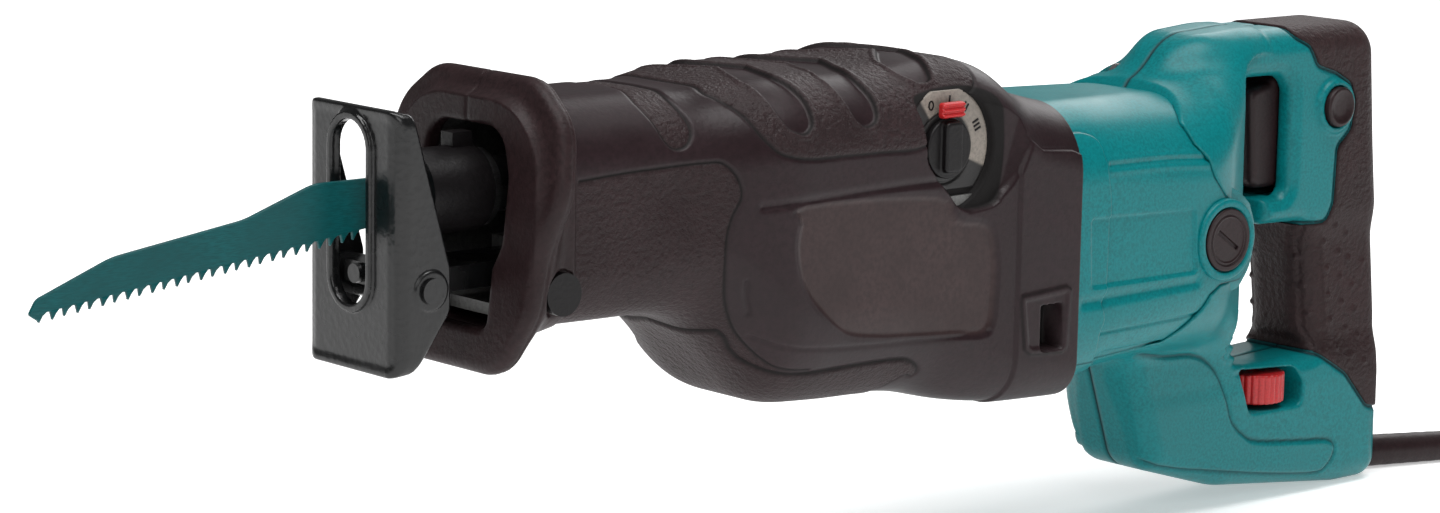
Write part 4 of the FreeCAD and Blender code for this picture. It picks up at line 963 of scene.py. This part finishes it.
lock_profile = [(8, 0.05), (8, 7.6), (0.9, 7.75), (0.25, 7.4), (0, 6.8), (0.1, 6.0), (0.75, 5.4),
                (0.95, 3), (1, 0.05)]
spun("lock_on_knob", lock_profile, (BUTTON_X, -23.9, BUTTON_Z), (0, 1, 0), "lock_on", BROWN,
     ["lock_on_button"], count=64)


def wheel_field(x, y, z):
    r = np.hypot(x, y)
    angle = np.arctan2(y, x)
    knurl = 0.55 * np.abs(np.sin(angle * 14)) ** 0.7
    body = edged(r - 12.35 + 0.55 - knurl, np.abs(z) - 5.7, 0.8)
    return np.maximum(body, 2.7 - r)


points, faces = surface_net(wheel_field, (-13, -13, -6.2), (13, 13, 6.2), 0.35)
mesh_piece("speed_dial_wheel", points + (424.5, -8.6, -110.75), faces, "speed", RED,
           ["speed_wheel"])

# --- front guard
RIM = arcs([
    (-26, -58.5, 16), (26, -58.5, 16), (37, -37, 14), (38, -20, 30), (46.5, 2, 24), (43, 25, 20),
    (26, 38, 18), (-26, 38, 18), (-43, 25, 20), (-46.5, 2, 24), (-38, -20, 30), (-37, -37, 14)], 9)
KEYHOLE = arcs([(-17, -44, 4), (17, -44, 4), (17, -24, 4), (21, -16, 8), (22, 6, 10), (18, 21, 10),
                (-18, 21, 10), (-22, 6, 10), (-21, -16, 8), (-17, -24, 4)], 7)
GUARD_X, LEAN = 47.5, math.radians(8.4)
COLLAR = smooth_rows([(40, 29.5, -48, 36, 24, 20), (52, 30, -47.6, 36.2, 24, 20),
                      (66, 29.6, -45.4, 34.8, 24, 20)], 2)


def through_guard(x, z):
    """Depth through the leaning guard plate, from its middle at the stroke axis."""
    return (x - GUARD_X) * math.cos(LEAN) - z * math.sin(LEAN)


def guard_field(x, y, z):
    across = through_guard(x, z)
    up = (x - GUARD_X) * math.sin(LEAN) + z * math.cos(LEAN)
    outline = area(RIM, y, up)
    plate = edged(outline, np.abs(across - 3.2) - 4, 3.4)
    collar = np.maximum(hull_field(COLLAR, x, y, z), np.maximum(46 - x, x - 63))
    body = soft_min(plate, collar, 7)
    body = soft_max(body, -area(KEYHOLE, y, z), 2.2)
    inner = np.maximum(hull_field(COLLAR, x, y, z) + 5.5, 51 - x)
    body = soft_max(body, -inner, 1.0)
    lock_pocket = np.maximum(np.hypot(x - 57, z + 31) - 7.7, y + 31.5)
    return soft_max(body, -lock_pocket, 0.8)


points, faces = surface_net(guard_field, (36, -50, -64), (66, 50, 43), 0.7)
normal = normals_of(points, faces)
rim_side = 1 - eased(np.abs(normal[:, 0]), 0.4, 0.8)
raised = groove(through_guard(points[:, 0], points[:, 2]) - 4.6, 0.5, 0.45) * rim_side
raised += groove(np.abs(points[:, 1]), 0.7, 0.5) * (points[:, 2] > 20)
mesh_piece("nose_guard", points + normal * raised[:, None], faces, "housing", GUARD,
           ["front_guard"])

# --- shoe
SHOE_SIDE = arcs([
    (-3, -54.5, 2), (6.5, -54.5, 2), (21.5, -34.5, 7.5), (21.5, -20.5, 7.5), (6.5, 30.5, 3),
    (-3, 30.5, 2)], 9)
SHOE_FRONT = arcs([(-24.5, -54.5, 6), (24.5, -54.5, 6), (24.5, 30.5, 6), (-24.5, 30.5, 6)], 8)
PIVOT_X, PIVOT_Z = 13.5, -27
SHOE_SLOT = arcs([(-8.8, -33, 8.7), (8.8, -33, 8.7), (8.8, 25.5, 8.7), (-8.8, 25.5, 8.7)], 9)


def shoe_field(x, y, z):
    outer = edged(-x, np.abs(y) - 24.5, 6)
    inner = edged(3 - x, np.abs(y) - 21.5, 3.2)
    sheet = np.maximum(outer, -inner)
    side = area(SHOE_SIDE, x, z)
    front = area(SHOE_FRONT, y, z)
    slot_d = area(SHOE_SLOT, y, z)
    form = soft_max(soft_max(sheet, side, 1.0), front, 1.2)
    rim = np.maximum(np.hypot(np.maximum(np.abs(slot_d - 1.6) - 0.7, 0), x) - 1.0, x - 1)
    form = soft_min(form, rim, 0.8)
    dish = 0.55 * eased(-front, 1.5, 4.5) * (x < 2)
    form = soft_max(form + dish * (slot_d > 2.6), -slot_d - 8 * (x > 6), 0.8)
    pivot = np.hypot(x - PIVOT_X, z - PIVOT_Z)
    boss = edged(pivot - 6.4, np.abs(np.abs(y) - 24.2) - 0.7, 0.5)
    return np.maximum(soft_min(form, boss, 0.5), 3.1 - pivot)


points, faces = surface_net(shoe_field, (-2.2, -26.2, -56), (23.5, 26.2, 32), 0.5)
mesh_piece("shoe_plate", points, faces, "shoe_body", SHOE, ["shoe"])


# --- blade
TEETH, TOOTH_PITCH, TOOTH_SLOPE = 27, 4.407, 0.1176
TOOTH_HEEL, TOOTH_TOE = np.array([5.0, -12.4]), np.array([-114.0, -26.4])
TOOTH = ((0.02, 2.7), (0.3, 2.75), (0.58, 1.8), (0.86, 0),
         (0.92, 0.5))  # (share of the pitch, lift)


def blade_outline():
    step = (TOOTH_TOE - TOOTH_HEEL) / TEETH
    outline = [(33, 6.2, 2), (33, -6.2, 2), (7, -6.2, 1.5), (6.5, -9.4)]
    for index in range(TEETH):
        for along, lift in TOOTH:
            outline.append(tuple(TOOTH_HEEL + step * (index + along) + (0, lift)))
    outline += [(-117.1, -23.6, 0.8), (-114.5, -19.2, 4), (-88, -9.2, 30), (-40, -2.4, 30),
                (-14, 6.4, 20), (7, 6.4)]
    return arcs(outline, 9)


blade_edge = blade_outline()
count = len(blade_edge)
way = np.roll(blade_edge, -1, 0) - np.roll(blade_edge, 1, 0)
way /= np.maximum(np.linalg.norm(way, axis=1, keepdims=True), 1e-6)
inner_edge = blade_edge - np.stack([-way[:, 1], way[:, 0]], 1) * 0.28
blade_points = np.concatenate([np.insert(ring, 1, depth, 1) for depth, ring in (
    (-0.65, inner_edge), (-0.42, blade_edge), (0.42, blade_edge), (0.65, inner_edge))])
tooth_zone = blade_points[:, 2] < -12 + (blade_points[:, 0] - 5) * TOOTH_SLOPE + 1.6
tooth_number = np.floor((5 - blade_points[:, 0]) / TOOTH_PITCH)
tooth_set = 0.22 * np.where(tooth_number % 2 == 0, 1, -1)
blade_points[:, 1] += np.where((blade_points[:, 0] < 5) & tooth_zone, tooth_set, 0)
# ring_faces() runs the other way round here, and the flat sides close as one polygon each
blade_faces = [tuple(int(i) for i in face)[::-1] for face in ring_faces(4, count)]
blade_faces += [tuple(range(count))[::-1], tuple(range(3 * count, 4 * count))]
blade_mesh = bpy.data.meshes.new("saw_blade")
blade_mesh.from_pydata([tuple(p) for p in place(blade_points)], [], blade_faces)
blade_mesh.update()
blade_mesh.materials.append(BLADE)
blade_piece = linked("saw_blade", blade_mesh)
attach(blade_piece, "slide")
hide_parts("blade")

# --- mode dial, lever and marks
def on_dial(points, face_y, lift=0):
    """Points made flat about the dial's axis, put on the near side with Y turned outwards."""
    return np.array([DIAL_X, face_y, DIAL_Z + lift]) + points * (1, -1, 1)


def lever_field(x, y, z):
    """Hub and grip of the mode lever, y measured from the dial plate outwards."""
    r = np.hypot(x, z)
    hub = edged(r - 10.4, np.abs(y - 1.35) - 1.3, 0.7)
    grip_line = np.hypot(np.maximum(np.abs(x) - 2.1, 0), np.maximum(np.abs(z - 0.6) - 6.8, 0)) - 1.9
    arm = edged(grip_line, np.abs(y - 2.6) - 2.6, 0.9)
    return soft_min(hub, arm, 0.9)


points, faces = surface_net(lever_field, (-11.5, -0.6, -11.5), (11.5, 6, 11.5), 0.35)
mesh_piece("mode_paddle", on_dial(points, -41.55), faces[:, ::-1], "mode", BLACK,
           ["mode_lever"])


def catch_field(x, y, z):
    ridges = 0.35 * np.cos(z * 3.4)
    return edged(edged(np.abs(x) - 5.4, np.abs(z) - 2.7, 1.2),
                 np.abs(y - 1.35) - 1.25 - ridges * (y > 1), 0.6)


points, faces = surface_net(catch_field, (-6, -0.4, -3.4), (6, 3.6, 3.4), 0.25)
mesh_piece("mode_catch_button", on_dial(points, -43.3, 13.45), faces[:, ::-1], "mode_catch", RED,
           ["lever_button"])


def plate_field(x, y, z):
    r = np.hypot(x, z)
    body = edged(np.maximum(np.maximum(r - 20.8, np.maximum(-x - 15.8, -z - 14.8)), z - 19.8),
                 np.abs(y - 0.75) - 0.75, 0.3)
    ring = np.hypot(r - 12.2, y - 1.5) - 0.5
    return np.maximum(soft_max(body, -ring, 0.2), 5.2 - r)


points, faces = surface_net(plate_field, (-17, -0.5, -16), (22, 2.2, 21), 0.4)
bearing = np.degrees(np.arctan2(points[:, 0], points[:, 2]))
hub_side = eased(-np.hypot(points[:, 0], points[:, 2]), -12.9, -12.3)
beyond_ring = np.maximum(eased(np.abs(bearing - 38), 72, 76), hub_side)
mesh_piece("dial_face", on_dial(points, -40.0), faces[:, ::-1], "housing", GREY,
           ["dial_plate"], {"line": beyond_ring})

MARK_RADIUS = 16.6
mark_points, mark_faces = [], []


def upward(angle):
    """Unit (X, Z) at an angle from straight up."""
    return np.array([math.sin(angle), math.cos(angle)])


def add_bar(centre, angle, offset, long, wide):
    """One raised bar of a dial numeral, drawn radially at an angle from straight up."""
    way = upward(angle)
    side = np.array([way[1], -way[0]])
    base = len(mark_points)
    for scale, lift in ((1, 0.0), (1, 0.22), (0.82, 0.3)):
        for a, b in ((-1, -1), (1, -1), (1, 1), (-1, 1)):
            spot = centre + side * (offset + a * wide / 2 * scale) + way * b * long / 2 * scale
            mark_points.append((DIAL_X + spot[0], -41.45 - lift, DIAL_Z + spot[1]))
    mark_faces.extend(base + ring_faces(3, 4)[:, ::-1])
    mark_faces.append(base + np.arange(8, 12))


for degrees, strokes in ((6, 1), (35, 2), (66, 3)):
    angle = math.radians(degrees)
    for stroke in range(strokes):
        add_bar(upward(angle) * MARK_RADIUS, angle, (stroke - (strokes - 1) / 2) * 1.5, 3.0, 0.75)
for step in range(12):
    around = step * math.pi / 6
    centre = upward(math.radians(-25)) * MARK_RADIUS + upward(around) * (1.0, 1.45)
    add_bar(centre, around + math.pi / 2, 0, 0.95, 0.55)
mesh_piece("dial_marks", np.array(mark_points), np.array(mark_faces), "housing", BLACK)

# --- finishes of the carried-over nodes
slots = {part["node"]: part["material_slot"] for part in frame["record"]["subparts"]}
for node, piece in frame["nodes"].items():
    if piece.hide_render:
        continue
    if not piece.data.materials:
        piece.data.materials.append(None)
    for spot in piece.material_slots:
        spot.material = SHOE if node == "shoe_screw" else FINISHES[slots[node]]

# --- studio
floor_mesh = bpy.data.meshes.new("studio_floor")
floor_mesh.from_pydata([(-6, -6, 0), (6, -6, 0), (6, 6, 0), (-6, 6, 0)], [], [(0, 1, 2, 3)])
floor = linked("studio_floor", floor_mesh)
floor.location.z = -0.0002
paper = bpy.data.materials.new("studio_paper")
paper.use_nodes = True
floor_mesh.materials.append(paper)
paper_nodes, paper_links = paper.node_tree.nodes, paper.node_tree.links
paper_shader = paper_nodes["Principled BSDF"].inputs
paper_shader["Base Color"].default_value = (0.94, 0.94, 0.94, 1)
paper_shader["Roughness"].default_value = 0.9
paper_shader["Emission Color"].default_value = (1, 1, 1, 1)
reach = paper_nodes.new("ShaderNodeVectorMath")
reach.operation = "LENGTH"
paper_links.new(paper_nodes.new("ShaderNodeTexCoord").outputs["Object"], reach.inputs[0])
glow = socket_ramp(paper_nodes, paper_links, reach.outputs["Value"], 0.4, 1.0, (0.5, 1.5))
paper_links.new(glow, paper_shader["Emission Strength"])

world = bpy.data.worlds.new("studio")
bpy.context.scene.world = world
world.use_nodes = True
world_nodes, world_links = world.node_tree.nodes, world.node_tree.links
world_nodes["Background"].inputs["Color"].default_value = (1, 1, 1, 1)
seen = world_nodes.new("ShaderNodeLightPath").outputs["Is Camera Ray"]
level_of = socket_ramp(world_nodes, world_links, seen, 0.16, 1.0, (0, 1))
world_links.new(level_of, world_nodes["Background"].inputs["Strength"])


def softbox(name, spot, target, size, power):
    data = bpy.data.lights.new(name, "AREA")
    data.shape = "RECTANGLE"
    data.size, data.size_y = size
    data.energy = power
    lamp = linked(name, data)
    lamp.location = spot
    lamp.rotation_mode = "QUATERNION"
    lamp.rotation_quaternion = (Vector(target) - Vector(spot)).to_track_quat("-Z", "Y")


softbox("top_box", (-0.1, -0.25, 1.5), (0.05, 0, 0.12), (1.6, 0.7), 24)
softbox("side_box", (-0.9, -1.5, 0.9), (0.05, 0, 0.1), (0.9, 0.9), 7)
softbox("rim_box", (1.2, 0.5, 0.9), (0.1, 0, 0.12), (0.8, 0.8), 6)
bpy.context.scene.view_settings.view_transform = "Standard"
